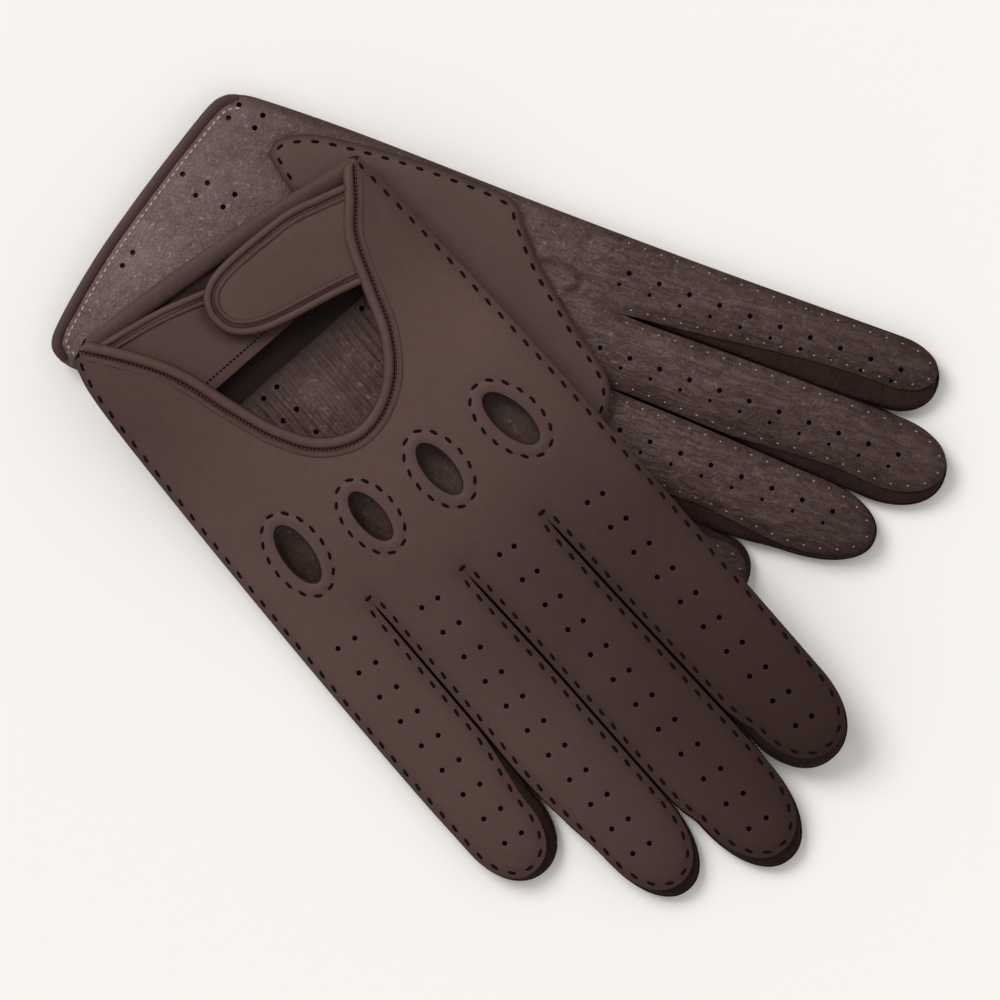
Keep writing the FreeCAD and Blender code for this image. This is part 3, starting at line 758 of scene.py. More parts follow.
def add_piece(name, verts, faces, pattern, tone, material, where, stands_for=(), normals=None):
    """Make an object from its mesh and attach it to the body it rides on; one given two bodies stays in the
    frame of the pair.
    """
    mesh = bpy.data.meshes.new(name)
    mesh.from_pydata(np.asarray(verts).tolist(), [], [list(map(int, f)) for f in faces])
    mesh.update()
    mesh.materials.append(MATERIALS[material])
    stored = mesh.attributes.new("pattern", "FLOAT_VECTOR", "POINT")
    stored.data.foreach_set("vector", np.asarray(pattern, np.float32).ravel())
    stored = mesh.attributes.new("tone", "FLOAT", "POINT")
    stored.data.foreach_set("value", np.broadcast_to(np.asarray(tone, np.float32), len(verts)).ravel())
    mesh.polygons.foreach_set("use_smooth", np.ones(len(mesh.polygons), bool))
    if normals is not None:
        mesh.normals_split_custom_set(np.asarray(normals).tolist())
    else:
        face_out(mesh)
    obj = bpy.data.objects.new(name, mesh)
    bpy.context.scene.collection.objects.link(obj)
    if len(where) == 1:
        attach(obj, where[0])
    else:
        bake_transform(obj)
    if stands_for:
        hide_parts(*stands_for)


def face_out(mesh):
    """Turn every face of a closed mesh outwards."""
    work = bmesh.new()
    work.from_mesh(mesh)
    bmesh.ops.recalc_face_normals(work, faces=work.faces)
    work.to_mesh(mesh)
    work.free()


def vertex_normals(points, faces):
    """Smooth normals at the points of a mesh of triangles."""
    corners = points[faces]
    face = np.cross(corners[:, 1] - corners[:, 0], corners[:, 2] - corners[:, 0])
    total = np.zeros_like(points)
    for k in range(3):
        np.add.at(total, faces[:, k], face)
    return unit(total)


def triangulate(loops, extra, lines=()):
    """Anticlockwise triangles through the extra points that fill the first loop outside the other loops."""
    points = []
    edges = []
    for line, closed in [(loop, True) for loop in loops] + [(line, False) for line in lines]:
        n = len(points)
        count = len(line)
        points += list(map(tuple, line))
        edges += [(n + i, n + (i + 1) % count) for i in range(count if closed else count - 1)]
    points += list(map(tuple, extra))
    found = delaunay_2d_cdt([Vector(p) for p in points], edges, [], 0, 1e-5)
    points = np.array([tuple(p) for p in found[0]])
    faces = np.array([tuple(f) for f in found[2]])
    faces = faces[inside(points[faces].mean(axis=1), loops)]
    a, b, c = (points[faces[:, k]] for k in range(3))
    area = (b[:, 0] - a[:, 0]) * (c[:, 1] - a[:, 1]) - (b[:, 1] - a[:, 1]) * (c[:, 0] - a[:, 0])
    faces[area < 0] = faces[area < 0][:, ::-1]
    used, faces = renumbered(faces[abs(area) > 1e-7], len(points))
    return points[used], faces


def renumbered(faces, count):
    """Which of the points the faces use, and the faces with only those points counted."""
    used = np.unique(faces)
    number = np.zeros(count, int)
    number[used] = np.arange(len(used))
    return used, number[faces]


def hexagon_points(loop, spacing):
    """Points in a triangular pattern over the box of a loop."""
    low = loop.min(axis=0)
    high = loop.max(axis=0)
    rows = []
    for j, v in enumerate(np.arange(low[1], high[1], spacing * 0.866)):
        u = np.arange(low[0] + (j % 2) * spacing / 2, high[0], spacing)
        rows.append(np.stack([u, np.full(len(u), v)], 1))
    return np.vstack(rows)


def boundary(faces):
    """The directed edges that only one triangle uses."""
    edges = np.vstack([faces[:, [0, 1]], faces[:, [1, 2]], faces[:, [2, 0]]])
    both = {tuple(e) for e in edges.tolist()}
    return np.array([e for e in edges.tolist() if (e[1], e[0]) not in both])


def add_skin(name, points, faces, outer, inner, tone, side, where, stands_for, facing, flesh_tone_and_shade=0.8,
             chosen=slice(None)):
    """A closed sheet between an outer and an inner face, from the chosen triangles of a whole panel."""
    sides = [vertex_normals(outer, faces if facing > 0 else faces[:, ::-1])]
    sides.append(vertex_normals(inner, faces[:, ::-1] if facing > 0 else faces))
    used, own = renumbered(faces[chosen], len(points))
    count = len(used)
    outside = own if facing > 0 else own[:, ::-1]
    inside_faces = own[:, ::-1] + count if facing > 0 else own + count
    rim = boundary(own)
    low, high = (count, 0) if facing > 0 else (0, count)
    rim = np.stack([rim[:, 0] + low, rim[:, 1] + low, rim[:, 1] + high, rim[:, 0] + high], 1)
    verts = np.vstack([outer[used], inner[used]])
    corners = verts[rim]
    flat = unit(np.cross(corners[:, 1] - corners[:, 0], corners[:, 3] - corners[:, 0]))
    normal = np.vstack([sides[0][used], sides[1][used]])
    loops = np.vstack([normal[outside.ravel()], normal[inside_faces.ravel()], np.repeat(flat, 4, axis=0)])
    pattern = np.hstack([points[used], np.zeros((count, 1))])
    pattern = np.vstack([pattern, pattern + (0, 0, FLESH_DEPTH)])
    tones = np.concatenate([tone[used], (tone * flesh_tone_and_shade)[used]])
    all_faces = outside.tolist() + inside_faces.tolist() + rim.tolist()
    add_piece(name, verts, all_faces, pattern, tones, side, where, stands_for, loops)


def relief_of(glove, side, points):
    """Creases, gathers and soft unevenness of a panel, in millimetres."""
    u, v = points.T
    up = 0.22 * noise(u, v, 24.0, 17.0, 3)
    if side == "palm":
        fingers = ramp_up(u, 110.0, 150.0)
        up += (0.10 + 0.20 * fingers) * noise(u, v, 6.5, 2.0, 5)
        up += 0.12 * noise(u, v, 3.2, 2.8, 7)
        gather = ramp_up(u, *GATHER[:2]) * (1 - ramp_up(u, *GATHER[2:]))
        gather *= (1 - ramp_up(abs(v), 26.0, 38.0)) * (1.0 + 0.35 * noise(u, v, 11.0, 5.0, 8))
        wander = 0.9 * noise(u, v, 20.0, 7.0, 9)
        up -= GATHER_DEPTH * gather * (np.sin(2 * math.pi * (v + wander) / GATHER_PITCH) + 0.6)
        if "palm_crease" in glove:
            d = nearest(points, smooth_line(glove["palm_crease"], 0.5))[0]
            up += 0.35 * bell(d, 0.8, at=1.9) - 0.75 * bell(d, 0.9)
        return up
    up += 0.05 * noise(u, v, 4.5, 3.5, 11)
    knuckles = glove["knuckles"]
    for k in knuckles:
        d = nearest(points, joined(oval(*k, count=60)))[0]
        up += 0.28 * bell(d, 1.1, at=1.6) - 0.28 * bell(d, 0.6, at=3.7)
        up -= 0.30 * bell(d, 0.7)
    before = (knuckles[0][0] + 6, knuckles[0][1] - 18)
    after = (knuckles[-1][0] - 4, knuckles[-1][1] + 14)
    fold = smooth_line([before] + [k[:2] for k in knuckles] + [after])
    up -= 0.10 * bell(nearest(points, fold)[0], 0.45)
    slack = 1 - ramp_up(u, 30.0, 75.0)
    up += 0.20 * slack * noise(u, v, 16.0, 4.5, 12) + 0.10 * slack * noise(u, v, 7.0, 2.6, 13)
    for crease in WRIST_CREASES:
        up -= 0.34 * bell(nearest(points, smooth_line(crease))[0], 1.2)
    return up


def height_of(glove, side):
    """A function for the height of a panel's outer face above the middle of the glove."""
    seam, rim = seam_path(glove, (side == "back") == (glove["up"] > 0))

    def height(points):
        points = np.asarray(points, float)
        d, place = nearest(points, seam)
        low = np.interp(place, np.arange(len(rim)), rim)
        h = low + (CROWN - low) * dome(d / REACH)
        h -= 0.35 * bell(d, 0.6, at=GROOVE_AT)
        return h + relief_of(glove, side, points) * ramp_up(d, 0.0, 2.2)
    return height


def tone_of(glove, side, points, d):
    """Dye and painted shade: darker to the fingertips, and painted shade at seams, crease and palm fingers.
    """
    u, v = np.asarray(points, float).T
    tone = np.full(len(u), glove["shade_start"])
    for amount, along, across in glove["shade"]:
        tone -= amount * ramp_up(u, *along) * ramp_up(v, *across)
    if side == "palm" and "palm_crease" in glove:
        # painted shade in the crease
        from_crease = nearest(points, smooth_line(glove["palm_crease"], 0.5))[0]
        tone *= 1 - 0.5 * bell(from_crease, 0.9)
    if side == "palm":
        # painted shading: these fingers are lighter along one side and darker along the other
        for i, contrast in PALM_CONTRAST:
            low = np.interp(u, *divider(glove, i - 1))
            high = np.interp(u, *divider(glove, i))
            across = np.clip((v - low) / (high - low), 0, 1)
            on_finger = ramp_up(u, 124.0, 146.0) * (v > low) * (v < high)
            tone *= 1 + contrast * on_finger * (across - 0.5) * (1 - 0.6 * ramp_up(u, 185.0, 220.0))
    # painted shade where the leather rounds down to its seams
    return tone * (1 - glove["edge_shade"] * bell(d, 2.3))


def open_edge(glove, side):
    """The unsewn edge of a panel, from the index side to the little side."""
    if side == "palm":
        return smooth_line(glove["wrist"])
    line = smooth_line(glove["cutout"])
    return line - normals_of(line) * UNDER_BINDING


def panel_points(glove, side, seam, outline, holes, upper):
    """The points inside a panel for its triangles, and the lines where its fingers are cut off."""
    knuckles = glove["knuckles"] if side == "back" else []
    around = [oval(u, v, 2 * radius, 2 * radius, grow=0.5) for u, v, radius in holes]
    around += [oval(*k, grow=grow, count=int(40 + 4 * grow)) for k in knuckles for grow in KNUCKLE_RINGS]
    rows = []
    for depth in (0.8, GROOVE_AT, 2.6):
        row = seam + normals_of(seam) * depth
        rows.append(row[nearest(row, seam)[0] > depth - 0.12])
    rows = np.vstack(rows)
    rows = rows[nearest(rows, open_edge(glove, side))[0] > 0.7]
    grid = hexagon_points(outline, FINE_SPACING if side == "palm" and upper else SPACING)
    if side == "palm":
        start, end, half = GATHER[0] - 3, GATHER[3] + 2, 38.0
        fine = hexagon_points(np.array([(start, -half), (end, half)]), GATHER_SPACING)
        near = (grid[:, 0] > start - 0.7) & (grid[:, 0] < end + 0.7) & (abs(grid[:, 1]) < half + 0.7)
        grid = np.vstack([grid[~near], fine])
    grid = grid[nearest(grid, joined(outline))[0] > 1.0]
    grid = grid[nearest(grid, seam)[0] > 3.3]
    extra = np.vstack([grid, rows])
    extra = extra[nearest_point(extra, np.array(holes)[:, :2]) > 1.75]
    for k in knuckles:
        ring = oval(*k, grow=KNUCKLE_RINGS[-1], count=60)
        extra = extra[~inside(extra, [ring])]
        extra = extra[nearest_point(extra, ring) > 0.9]
    cuts = []
    for finger in [f for f in FINGERS if f in glove["hinges"]]:
        u = glove["hinges"][finger] - CUT_BEFORE
        path = finger_path(glove, finger, upper)
        v = np.sort(path[abs(path[:, 0] - u) < 1e-6, 1])
        cuts.append(np.stack([np.full(19, u), np.linspace(v[0], v[-1], 19)], 1))
        extra = extra[(abs(extra[:, 0] - u) > 0.6) | (extra[:, 1] < v[0]) | (extra[:, 1] > v[-1])]
    extra = np.vstack([extra] + around)
    return extra[inside(extra, [outline])], cuts


def build_panel(glove, side):
    """One face of a glove: a skin for the hand, and one for each finger that bends."""
    sign = 1 if side == "back" else -1
    facing = sign * glove["up"]
    seam, _ = seam_path(glove, facing > 0)
    outline = np.vstack([seam, open_edge(glove, side)[1:-1]])
    holes = punched_holes(glove, side)
    loops = [outline] + [oval(u, v, 2 * radius, 2 * radius) for u, v, radius in holes]
    if side == "back":
        loops += [oval(*k, count=44) for k in glove["knuckles"]]
    points, faces = triangulate(loops, *panel_points(glove, side, seam, outline, holes, facing > 0))
    u, v = points.T
    h = height_of(glove, side)(points)
    h -= 0.22 * np.exp(-nearest_point(points, np.array(holes)[:, :2]) ** 4)
    outer = world(glove, u, v, sign * h)
    inner = world(glove, u, v, sign * (h - SKIN))
    tone = tone_of(glove, side, points, nearest(points, seam)[0])
    # painted shade on the flesh side: dark inside the cuff under the strap, tab and elastic, and under the
    # knuckle holes
    flesh_tone_and_shade = 0.20 + 0.70 * ramp_up(u, 34.0, 47.0) - 0.18 * ramp_up(u, 68.0, 78.0)
    part = part_at(glove, points[faces].mean(axis=1))
    prefix = glove["name"] + "_"
    stands = [prefix + "back_panel"] if side == "back" else [prefix + "palm_panel", prefix + "finger_creases"]
    for k in parts_of(glove):
        if k >= 0:
            stands = [part_name(glove, k) + "tip_" + side]
        add_skin(part_name(glove, k) + side + "_leather", points, faces, outer, inner, tone, side,
                 finger_body(glove, k), stands, facing, flesh_tone_and_shade, part == k)


# ---- swept pieces ----

def swept(sections, closed=False):
    """Faces of a skin over a row of closed cross-sections, each an equal number of points."""
    n, k = sections.shape[:2]
    faces = []
    for i in range(n if closed else n - 1):
        a = i * k
        b = ((i + 1) % n) * k
        faces += [(a + j, b + j, b + (j + 1) % k, a + (j + 1) % k) for j in range(k)]
    if not closed:
        faces.append(tuple(range(k)))
        faces.append(tuple(range((n - 1) * k, n * k)))
    return faces


def add_sweep(name, glove, sign, line, base, profile, tone, where, stands_for=(),
              closed=False, wobble=0.0, round_ends=0.0):
    """Carry a cross-section of (distance to the left, height) points along a line on the face of a glove."""
    line = np.asarray(line, float)
    profile = np.asarray(profile, float)
    side = to_left(np.roll(line, -1, axis=0) - np.roll(line, 1, axis=0)) if closed else normals_of(line)
    along = lengths(line)[:, None]
    size = np.ones_like(along)
    if round_ends:
        from_end = np.minimum(along, along[-1] - along) / round_ends
        size = np.sqrt(np.clip(1 - (1 - np.clip(from_end, 0.02, 1)) ** 2, 0, 1))
    middle = (profile.max(axis=0) + profile.min(axis=0)) / 2
    out = middle[0] + (profile[:, 0] - middle[0]) * size
    u = line[:, 0:1] + side[:, 0:1] * out
    v = line[:, 1:2] + side[:, 1:2] * out
    h = np.asarray(base, float).reshape(-1, 1) + middle[1] + (profile[:, 1] - middle[1]) * size
    h = np.broadcast_to(h, u.shape)
    if wobble:
        h = h + wobble * noise(u, v, 3.0, 2.4, 1)
    verts = world(glove, u, v, sign * h)
    pattern = np.stack([np.broadcast_to(along, u.shape), np.broadcast_to(profile[:, 0], u.shape), h], -1)
    tones = np.broadcast_to(tone, u.shape).ravel()
    add_piece(name, verts.reshape(-1, 3), swept(verts, closed), pattern.reshape(-1, 3), tones, "roll",
              where, stands_for)


def double_roll(width, ridge, top):
    """Cross-section of a rolled edge: a low ridge, a sewn groove, and a round roll at the free side."""
    start = ridge + 0.8
    radius = (width - start) / 2
    middle = start + radius
    points = [(0.0, -0.9), (0.0, 0.0), (0.25, 0.35), (ridge * 0.5, 0.62), (ridge * 0.85, 0.45)]
    points.append((ridge + 0.45, -0.15))
    for k in range(9):
        t = math.pi * (1.0 - k / 8)
        points.append((middle + radius * math.cos(t) * 1.02, top - radius * 0.95 * (1 - math.sin(t))))
    points += [(width - 0.1, top - radius - 0.8), (middle, top - radius - 1.3), (start, top - radius - 1.1)]
    return points


# Painted light on a double roll: painted highlights on its crests, painted shade in its groove and underneath
ROLL_CREST_HIGHLIGHTS = [0.30 + 0.95 * math.sin(math.pi * k / 8) ** 0.8 for k in range(9)]
ROLL_PAINTED_LIGHT = np.array([0.35, 0.45, 0.85, 1.18, 0.85, 0.18] + ROLL_CREST_HIGHLIGHTS + [0.35] * 3)


def gather_points(line, pitch, closed=False):
    """Places along a line at an even pitch, and the direction of the line there."""
    line = joined(line) if closed else np.asarray(line, float)
    total = lengths(line)[-1]
    count = max(1, int(round(total / pitch)))
    at = (np.arange(count) + 0.5) * total / count
    return at_lengths(line, at), unit(at_lengths(line, at + 0.3) - at_lengths(line, at - 0.3))


def add_stitches(name, glove, sign, spots, runs, height, size, material, where, slant=0.0, flat_z=None):
    """Threads lying on a face: rounded dashes of (length, width, thickness), sunk a little into it."""
    if not len(spots):
        return
    runs = np.stack(turned(*np.asarray(runs, float).T, slant), 1)
    ends = []
    for reach in (-0.5, 0.5):
        p = np.asarray(spots, float) + runs * size[0] * reach
        ends.append(world(glove, p[:, 0], p[:, 1], sign * height(p), flat_z))
    middle = (ends[0] + ends[1]) / 2
    along = unit(ends[1] - ends[0])
    side = unit(np.cross((0, 0, sign * glove["up"] if flat_z is None else 1), along))
    up = np.cross(along, side)
    shape = [(-1.0, 0.0, 0.0)]
    for x in STITCH_RINGS:
        r = (1 - abs(x) ** 2.6) ** 0.5
        turns = [2 * math.pi * k / STITCH_SIDES for k in range(STITCH_SIDES)]
        shape += [(x, r * math.cos(t), r * math.sin(t)) for t in turns]
    shape = np.array(shape + [(1.0, 0.0, 0.0)])
    half = np.array(size) / 2 * MM
    verts = middle[:, None]
    for k, axis in enumerate((along, side, up)):
        verts = verts + shape[None, :, k:k + 1] * half[k] * axis[:, None]
    faces = []
    ring = [(k, (k + 1) % STITCH_SIDES) for k in range(STITCH_SIDES)]
    for n in range(len(spots)):
        a = n * len(shape)
        faces += [(a, a + 1 + after, a + 1 + k) for k, after in ring]
        for b in range(a + 1, a + 1 + 3 * STITCH_SIDES, STITCH_SIDES):
            c = b + STITCH_SIDES
            faces += [(b + k, b + after, c + after, c + k) for k, after in ring]
        faces += [(c + k, c + after, c + STITCH_SIDES) for k, after in ring]
    pattern = np.broadcast_to(shape * np.array(size) / 2, (len(spots), len(shape), 3)).copy()
    pattern[:, :, 0] += 10.0 * np.arange(len(spots))[:, None]
    add_piece(name, verts.reshape(-1, 3), faces, pattern.reshape(-1, 3), 1.0, material, where)


def build_walls(glove):
    """The gussets between the two faces of each finger, with their puckers."""
    prefix = glove["name"] + "_"
    for i, finger in enumerate(FINGERS):
        top = finger_path(glove, finger, True)
        base = finger_path(glove, finger, False)
        inward = normals_of(base)
        top_rim = finger_rim(glove, finger, top)
        base_rim = finger_rim(glove, finger, base)
        outer = top_rim < SLIT_RIM - 0.05
        recess = np.where(outer, 0.7, 0.3)
        tip_start = glove["tips"][finger][0]
        before_tip = 1 - ramp_up(base[:, 0], tip_start - 8.0, tip_start)
        sections = []
        for depth in (0.0, GUSSET_SKIN):
            ring = []
            for s in np.linspace(0, 1, GUSSET_ROWS):
                out = math.sin(math.pi / 2 * min(1.0, s / 0.6))
                place = top + (base - top) * out
                pucker = noise(place[:, 0] * glove["pucker_run"], s * 9.0, 4.2, 1.6, 20 + i) * glove["pucker"]
                bulge = np.where(outer, 0.0, 0.66 * math.sin(math.pi * s)) * before_tip
                place = place + inward * (recess + depth + 0.25 + 0.5 * pucker - bulge)[:, None]
                h = (top_rim - 0.45) * (1 - s) + (-base_rim + 0.45) * s + pucker * math.sin(math.pi * s)
                h = h - depth * 0.6 * (1 - s)
                ring.append(np.stack([place[:, 0], place[:, 1], h], 1))
            sections.append(np.stack(ring, 1))
        loop = np.concatenate([sections[0], sections[1][:, ::-1]], axis=1)[1:-1]
        verts = world(glove, loop[..., 0], loop[..., 1], glove["up"] * loop[..., 2])
        along = np.broadcast_to(lengths(base[1:-1])[:, None], loop.shape[:2])
        pattern = np.stack([along, loop[..., 2], loop[..., 2] * 0], -1)
        # painted shade: a gusset is darker the less of it shows between the faces, and the outer ones are
        # darker too
        shown = np.clip((np.hypot(*(base - top).T) - 0.4) / 1.2, 0, 1)
        tone = HIDDEN_WALL_TONE + (glove["wall_tone"] - HIDDEN_WALL_TONE) * shown
        tone = np.where(outer, OUTER_WALL_TONE, tone)[1:-1, None]
        tone = np.broadcast_to(tone, loop.shape[:2]).ravel()
        k = i if finger in glove["hinges"] else -1
        stands = [prefix + finger + "_tip_fourchette"] if k >= 0 else [prefix + "fourchettes"]
        if finger == "ring":
            stands += [prefix + "fourchettes", prefix + "quirks"]
        if finger == "index":
            stands += [prefix + "side_strips"]
        add_piece(prefix + finger + "_gusset", verts.reshape(-1, 3), swept(verts), pattern.reshape(-1, 3),
                  tone, "wall", finger_body(glove, k), stands)


def build_seam_stitches(glove, side):
    """Hand-sewn stitches: along the seams, each side of the slits, round the tips and the knuckle holes."""
    sign = 1 if side == "back" else -1
    upper = sign == glove["up"]
    height = height_of(glove, side)
    seam, _ = seam_path(glove, upper)
    pitch, size, slant, thread = SEAM_STITCHES[side]
    found = []
    for finger in FINGERS:
        path = finger_path(glove, finger, upper)
        row = path + normals_of(path) * GROOVE_AT
        row = row[nearest(row, seam)[0] > GROOVE_AT - 0.15]
        spots, runs = gather_points(evenly(row, 1.0), pitch)
        sewn = spots[:, 0] >= (PALM_SEWN_FROM if side == "palm" else -np.inf)
        found.append((spots[sewn], runs[sewn]))
    if side == "back":
        found += [(np.array([(slit[0][0] - 1.8, slit[0][1])]), np.array([(-0.16, 0.99)]))
                  for slit in glove["slits"]]
        found += [gather_points(oval(*k, grow=3.45, count=60), 4.6, closed=True) for k in glove["knuckles"]]
    spots = np.vstack([row[0] for row in found])
    runs = np.vstack([row[1] for row in found])
    part = part_at(glove, spots)
    for k in parts_of(glove):
        add_stitches(part_name(glove, k) + side + "_stitches", glove, sign, spots[part == k], runs[part == k],
                     lambda p: height(p) + 0.02, size, thread, finger_body(glove, k), slant)


def build_cutout(glove):
    """The rolled edge of the opening in the back, with its machine stitches, and the facings of the holes."""
    prefix = glove["name"] + "_"
    hand = (prefix + "hand",)
    height = height_of(glove, "back")
    line = smooth_line(glove["cutout"], 1.0)
    proud = 4.7 if glove["up"] > 0 else 3.95
    base = np.minimum(height(line) - 0.25, proud - 1.05)
    profile = [(-n, h) for n, h in double_roll(6.0, 1.9, 1.05)]
    add_sweep(prefix + "cutout_rolls", glove, 1, line, base, profile, ROLL_PAINTED_LIGHT, hand,
              [prefix + "cutout_binding"], wobble=0.07, round_ends=3.0)
    spots, runs = gather_points(line - normals_of(line) * 2.35, 1.15)
    add_stitches(prefix + "cutout_stitches", glove, 1, spots, runs,
                 lambda p: np.minimum(height(p), proud - 0.8) - 0.22, (0.85, 0.5, 0.5), "brown_thread", hand)
    for finger, k in zip(FINGERS, glove["knuckles"]):
        loop = oval(*k, count=48)
        profile = [(0.45, 0.0), (0.5, -0.3), (0.45, -0.6), (-3.2, -0.6), (-3.2, 0.0)]
        add_sweep(prefix + "knuckle_facing_" + finger, glove, 1, loop, height(loop) - SKIN - 0.02, profile,
                  0.35, hand, [prefix + "knuckle_facings"], closed=True)


def build_wrist(glove):
    """The rolled hem at the wrist of the palm, narrower on the left glove, and its row of pale stitches."""
    prefix = glove["name"] + "_"
    hand = (prefix + "hand",)
    height = height_of(glove, "palm")
    line = smooth_line(glove["wrist"], 1.0)
    left_of = normals_of(line)
    if glove["up"] > 0:
        turns = [2 * math.pi * k / 16 for k in range(16)]
        profile = [(3.1 + 3.1 * math.cos(t), -1.25 + 1.6 * math.sin(t)) for t in turns]
    else:
        profile = [(3.0, 0.05), (2.6, 0.45), (1.8, 0.75), (0.8, 0.7), (0.1, 0.3), (-0.1, -0.4), (0.1, -1.2),
                   (0.9, -1.7), (2.0, -1.7), (2.8, -1.2)]
    add_sweep(prefix + "wrist_roll", glove, -1, line, height(line + left_of * 1.5), profile, 1.0, hand,
              [prefix + "wrist_hem"], wobble=0.08, round_ends=3.0)
    if glove["up"] < 0:
        # a strip under the cuff's perforations; its dark tone is painted shade, so the holes look dark
        strip = smooth_line(CUFF_FACING)
        flat = [(2.0, -SKIN - 0.1), (17.0, -SKIN - 0.1), (17.0, -SKIN - 0.7), (2.0, -SKIN - 0.7)]
        base = height(strip + normals_of(strip) * 8.0)
        add_sweep(prefix + "cuff_facing", glove, -1, strip, base, flat, 0.4, hand)
    row = line + left_of * 4.3
    seam, _ = seam_path(glove, glove["up"] < 0)
    row = row[inside(row, [np.vstack([seam, line[1:-1]])])]
    spots, runs = gather_points(row, 2.1)
    add_stitches(prefix + "wrist_stitches", glove, -1, spots, runs, lambda p: height(p) + 0.05,
                 (1.35, 0.75, 0.5), "light_thread", hand)


def pad_mesh(outline):
    """The points and triangles that fill an outline, and how far each point is from it."""
    loop = np.asarray(outline, float)
    grid = hexagon_points(loop, SPACING)
    grid = grid[inside(grid, [loop])]
    grid = grid[nearest(grid, joined(loop))[0] > 0.9]
    points, faces = triangulate([loop], grid)
    return points, faces, nearest(points, joined(loop))[0]


def plate(name, glove, outline, top, bottom, tone, side, where, stands_for, crown, reach, flat_z=None,
          seed=31):
    """A closed pad over an outline, between two heights, rounded down towards its edge."""
    points, faces, d = pad_mesh(outline)
    u, v = points.T
    up = crown * dome(d / reach) + 0.10 * noise(u, v, 9.0, 7.0, seed)
    up += 0.05 * noise(u, v, 3.0, 2.5, seed + 1) - crown
    outer = world(glove, u, v, top + up, flat_z)
    inner = world(glove, u, v, bottom, flat_z)
    facing = 1 if flat_z is not None else glove["up"]
    # painted shade towards the edge, where the pad rounds down
    tones = tone(points) * (1 - 0.15 * bell(d, 1.4))
    add_skin(name, points, faces, outer, inner, tones, side, where, stands_for, facing)


def plate_down(name, glove, outline, middle, tone, side, where, stands_for):
    """The lower half of a thumb: the same pad, turned downwards."""
    points, faces, d = pad_mesh(outline)
    u, v = points.T
    outer = world(glove, u, v, -(0.5 + 0.8 * dome(d / THUMB_REACH)), middle)
    inner = world(glove, u, v, -THUMB_GAP, middle)
    add_skin(name, points, faces, outer, inner, tone(points), side, where, stands_for, -1)


def shifted(glove, points):
    """Points of the closure, where this glove has them."""
    return [(u + glove["tab_shift"][0], v + glove["tab_shift"][1]) for u, v in points]


def build_closure(glove):
    """The strap end that the tab closes on, and the tab, which folds up from its root, with its edge."""
    prefix = glove["name"] + "_"
    hand = (prefix + "hand",)
    little = np.array(glove["little_edge"])
    outline = [(u, max(v, np.interp(u, *little.T) + 2.0)) for u, v in shifted(glove, UNDERLAP)]
    edge = smooth_line(shifted(glove, UNDERLAP_EDGE))
    edge = edge[edge[:, 1] > np.interp(edge[:, 0], *little.T) + 2.6]
    far = smooth_line([outline[1], outline[2]])
    body = np.vstack([edge[::-1], far, smooth_line(outline[2:])[1:-1]])
    tab_line = smooth_line(shifted(glove, TAB))

    def underlap_tone_and_tab_shadow(points):
        # painted shadow of the tab on the strap beneath it
        from_tab = np.maximum(nearest(points, tab_line)[0] - 1.0, 0.0)
        return 0.84 - 0.30 * bell(from_tab, 1.8)
    plate(prefix + "underlap_leather", glove, body, UNDERLAP_TOP, 0.0, underlap_tone_and_tab_shadow, "back", hand,
          [prefix + "underlap"], crown=0.35, reach=7.0)
    profile = [(4.2 - n, h) for n, h in double_roll(4.2, 1.3, 0.55)]
    add_sweep(prefix + "underlap_roll", glove, 1, edge[::-1], 0.9, profile[::-1], ROLL_PAINTED_LIGHT[::-1], hand,
              [prefix + "underlap_binding"], wobble=0.05)
    spots, runs = gather_points(far - (3.0, 0.0), 1.3)
    add_stitches(prefix + "underlap_stitches", glove, 1, spots, runs, lambda p: UNDERLAP_TOP,
                 (0.95, 0.5, 0.4), "dark_thread", hand)

    root = np.array(shifted(glove, TAB_HINGE))
    fold = -to_left(root[1:] - root[:1])[0]
    middle = root.mean(axis=0)
    ends = [world(glove, *(middle + fold * reach), 0.0, HALF + 3.0) for reach in (-1.0, 5.0)]
    where = (prefix + "hand", prefix + "tab", ends[0], ends[1])
    start, end = shifted(glove, TAB_ROOT)
    whole = np.vstack([start, smooth_line(shifted(glove, TAB), 1.0), end])
    whole = smooth_line(np.vstack([whole[::3], whole[-1:]]), 1.0)
    left_of = normals_of(whole)
    plate(prefix + "tab_leather", glove, whole + left_of * 2.4, 3.75, 2.75,
          lambda p: 0.93 - 0.004 * (p[:, 0] - 15.0), "back", where, [prefix + "tab"], crown=0.35, reach=6.0)
    profile = [(4.6 - n, h) for n, h in double_roll(4.6, 1.5, 0.75)]
    add_sweep(prefix + "tab_roll", glove, 1, whole, 3.45, profile, ROLL_PAINTED_LIGHT, where,
              [prefix + "tab_binding"], wobble=0.05)
    spots, runs = gather_points(whole + left_of * 2.7, 1.2)
    add_stitches(prefix + "tab_stitches", glove, 1, spots, runs, lambda p: 3.4, (0.85, 0.5, 0.5),
                 "brown_thread", where)


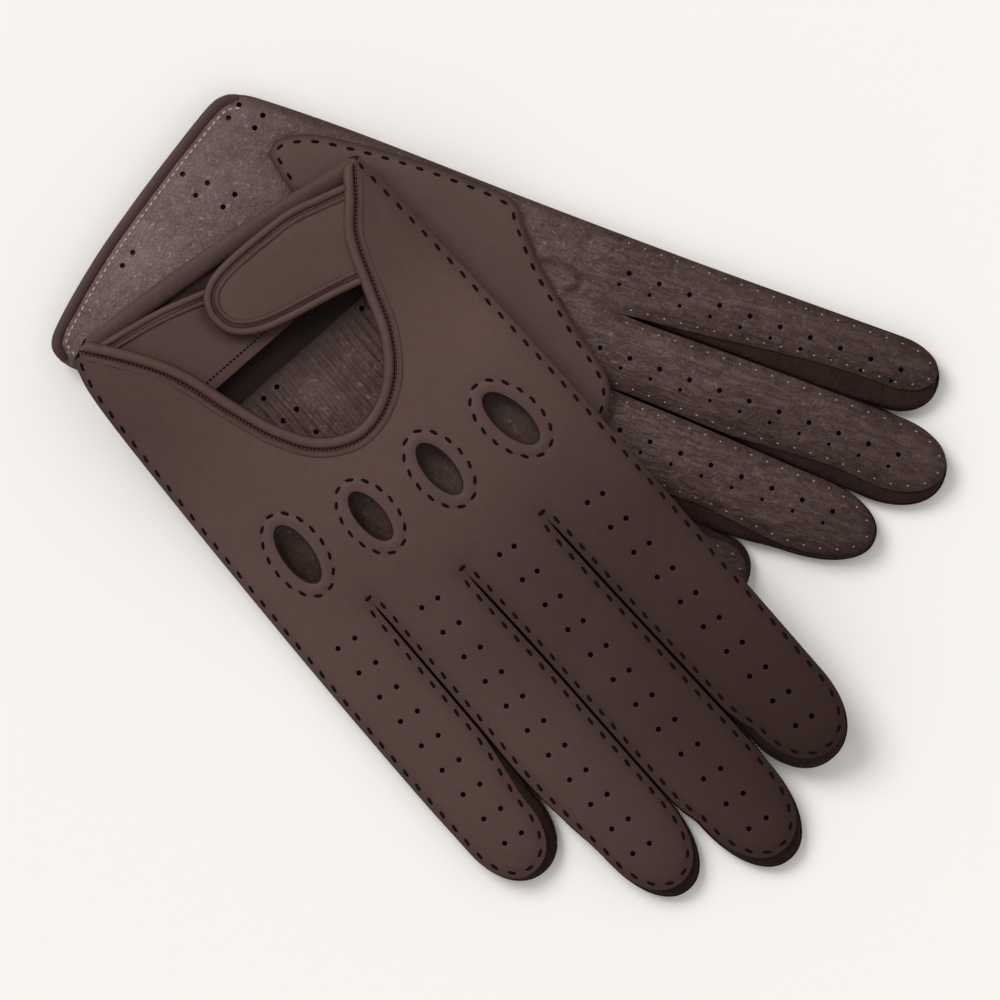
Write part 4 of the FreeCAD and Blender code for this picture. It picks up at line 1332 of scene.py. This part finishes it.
def build_thumb(glove):
    """The thumb, pressed flat: smooth back leather, grained palm leather, and the seam round it."""
    prefix = glove["name"] + "_"
    outline = np.array(glove["thumb"])
    loop = smooth_line(joined(outline))[:-1]
    ends = [world(glove, u, v, 0.0, glove["thumb_z"]) for u, v in glove["thumb_base"]]
    where = (prefix + "hand", prefix + "thumb", ends[0], ends[1])
    middle = glove["thumb_z"] + 1.35
    back_up = glove["up"] < 0

    def tone(points):
        # darker towards the tip, and painted shadow along the outline, where the thumb meets the leather
        # beneath
        tip_darkening = 1.02 - 0.0016 * (points[:, 0] - 60.0)
        return tip_darkening * (1 - 0.5 * bell(nearest(points, loop)[0], 0.9))
    for side in ("back", "palm"):
        name = prefix + "thumb_" + side
        if (side == "back") == back_up:
            plate(name + "_leather", glove, loop, 1.4, THUMB_GAP, tone, side, where, [name], crown=0.9,
                  reach=THUMB_REACH, flat_z=middle, seed=41)
        else:
            plate_down(name + "_leather", glove, loop, middle, tone, side, where, [name])
    inward = normals_of(np.vstack([loop[-1:], loop, loop[:1]]))[1:-1] * (1 if anticlockwise(loop) else -1)
    spots, runs = gather_points(loop + inward * 2.0, 5.2, closed=True)
    add_stitches(prefix + "thumb_stitches", glove, 1, spots, runs, lambda p: 1.06, (2.4, 1.0, 0.52),
                 "dark_thread" if back_up else "light_thread", where, flat_z=middle)


def anticlockwise(loop):
    """Whether a closed line runs anticlockwise."""
    x, y = loop.T
    return np.sum(x * np.roll(y, -1) - np.roll(x, -1) * y) > 0


for glove in (LEFT, RIGHT):
    build_panel(glove, "back")
    build_panel(glove, "palm")
    build_walls(glove)
    for side in ("back", "palm"):
        build_seam_stitches(glove, side)
    build_cutout(glove)
    build_wrist(glove)
    build_closure(glove)
    build_thumb(glove)

for name, node in frame["nodes"].items():
    kind = "elastic" if name.endswith("wrist_elastic") else "fastener" if name.endswith("_patch") else None
    if kind:
        for slot_of in node.material_slots:
            slot_of.material = MATERIALS[kind]
    if name.endswith("seam_thread"):
        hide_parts(name)


# ---- floor and light ----

scene = bpy.context.scene
scene.view_settings.view_transform = "Standard"
floor_material, tree, shader = new_material("pale_floor", 0.9, specular=0.0)
shader.inputs["Base Color"].default_value = (*FLOOR_COLOUR, 1.0)
bpy.ops.mesh.primitive_plane_add(size=FLOOR_SIZE, location=(0, 0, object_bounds()[0][2] - 0.05 * MM))
floor = bpy.context.object
floor.name = "floor"
floor.data.materials.append(floor_material)

room = bpy.data.worlds.new("room")
room.use_nodes = True
background = room.node_tree.nodes["Background"]
background.inputs["Color"].default_value = (1.0, 1.0, 1.0, 1.0)
background.inputs["Strength"].default_value = ROOM_LIGHT
scene.world = room
light = bpy.data.lights.new("key", "SUN")
light.energy = KEY_LIGHT
light.angle = math.radians(KEY_SOFTNESS)
lamp = bpy.data.objects.new("key", light)
scene.collection.objects.link(lamp)
lamp.rotation_euler = Vector(KEY_DIRECTION).to_track_quat("-Z", "Y").to_euler()
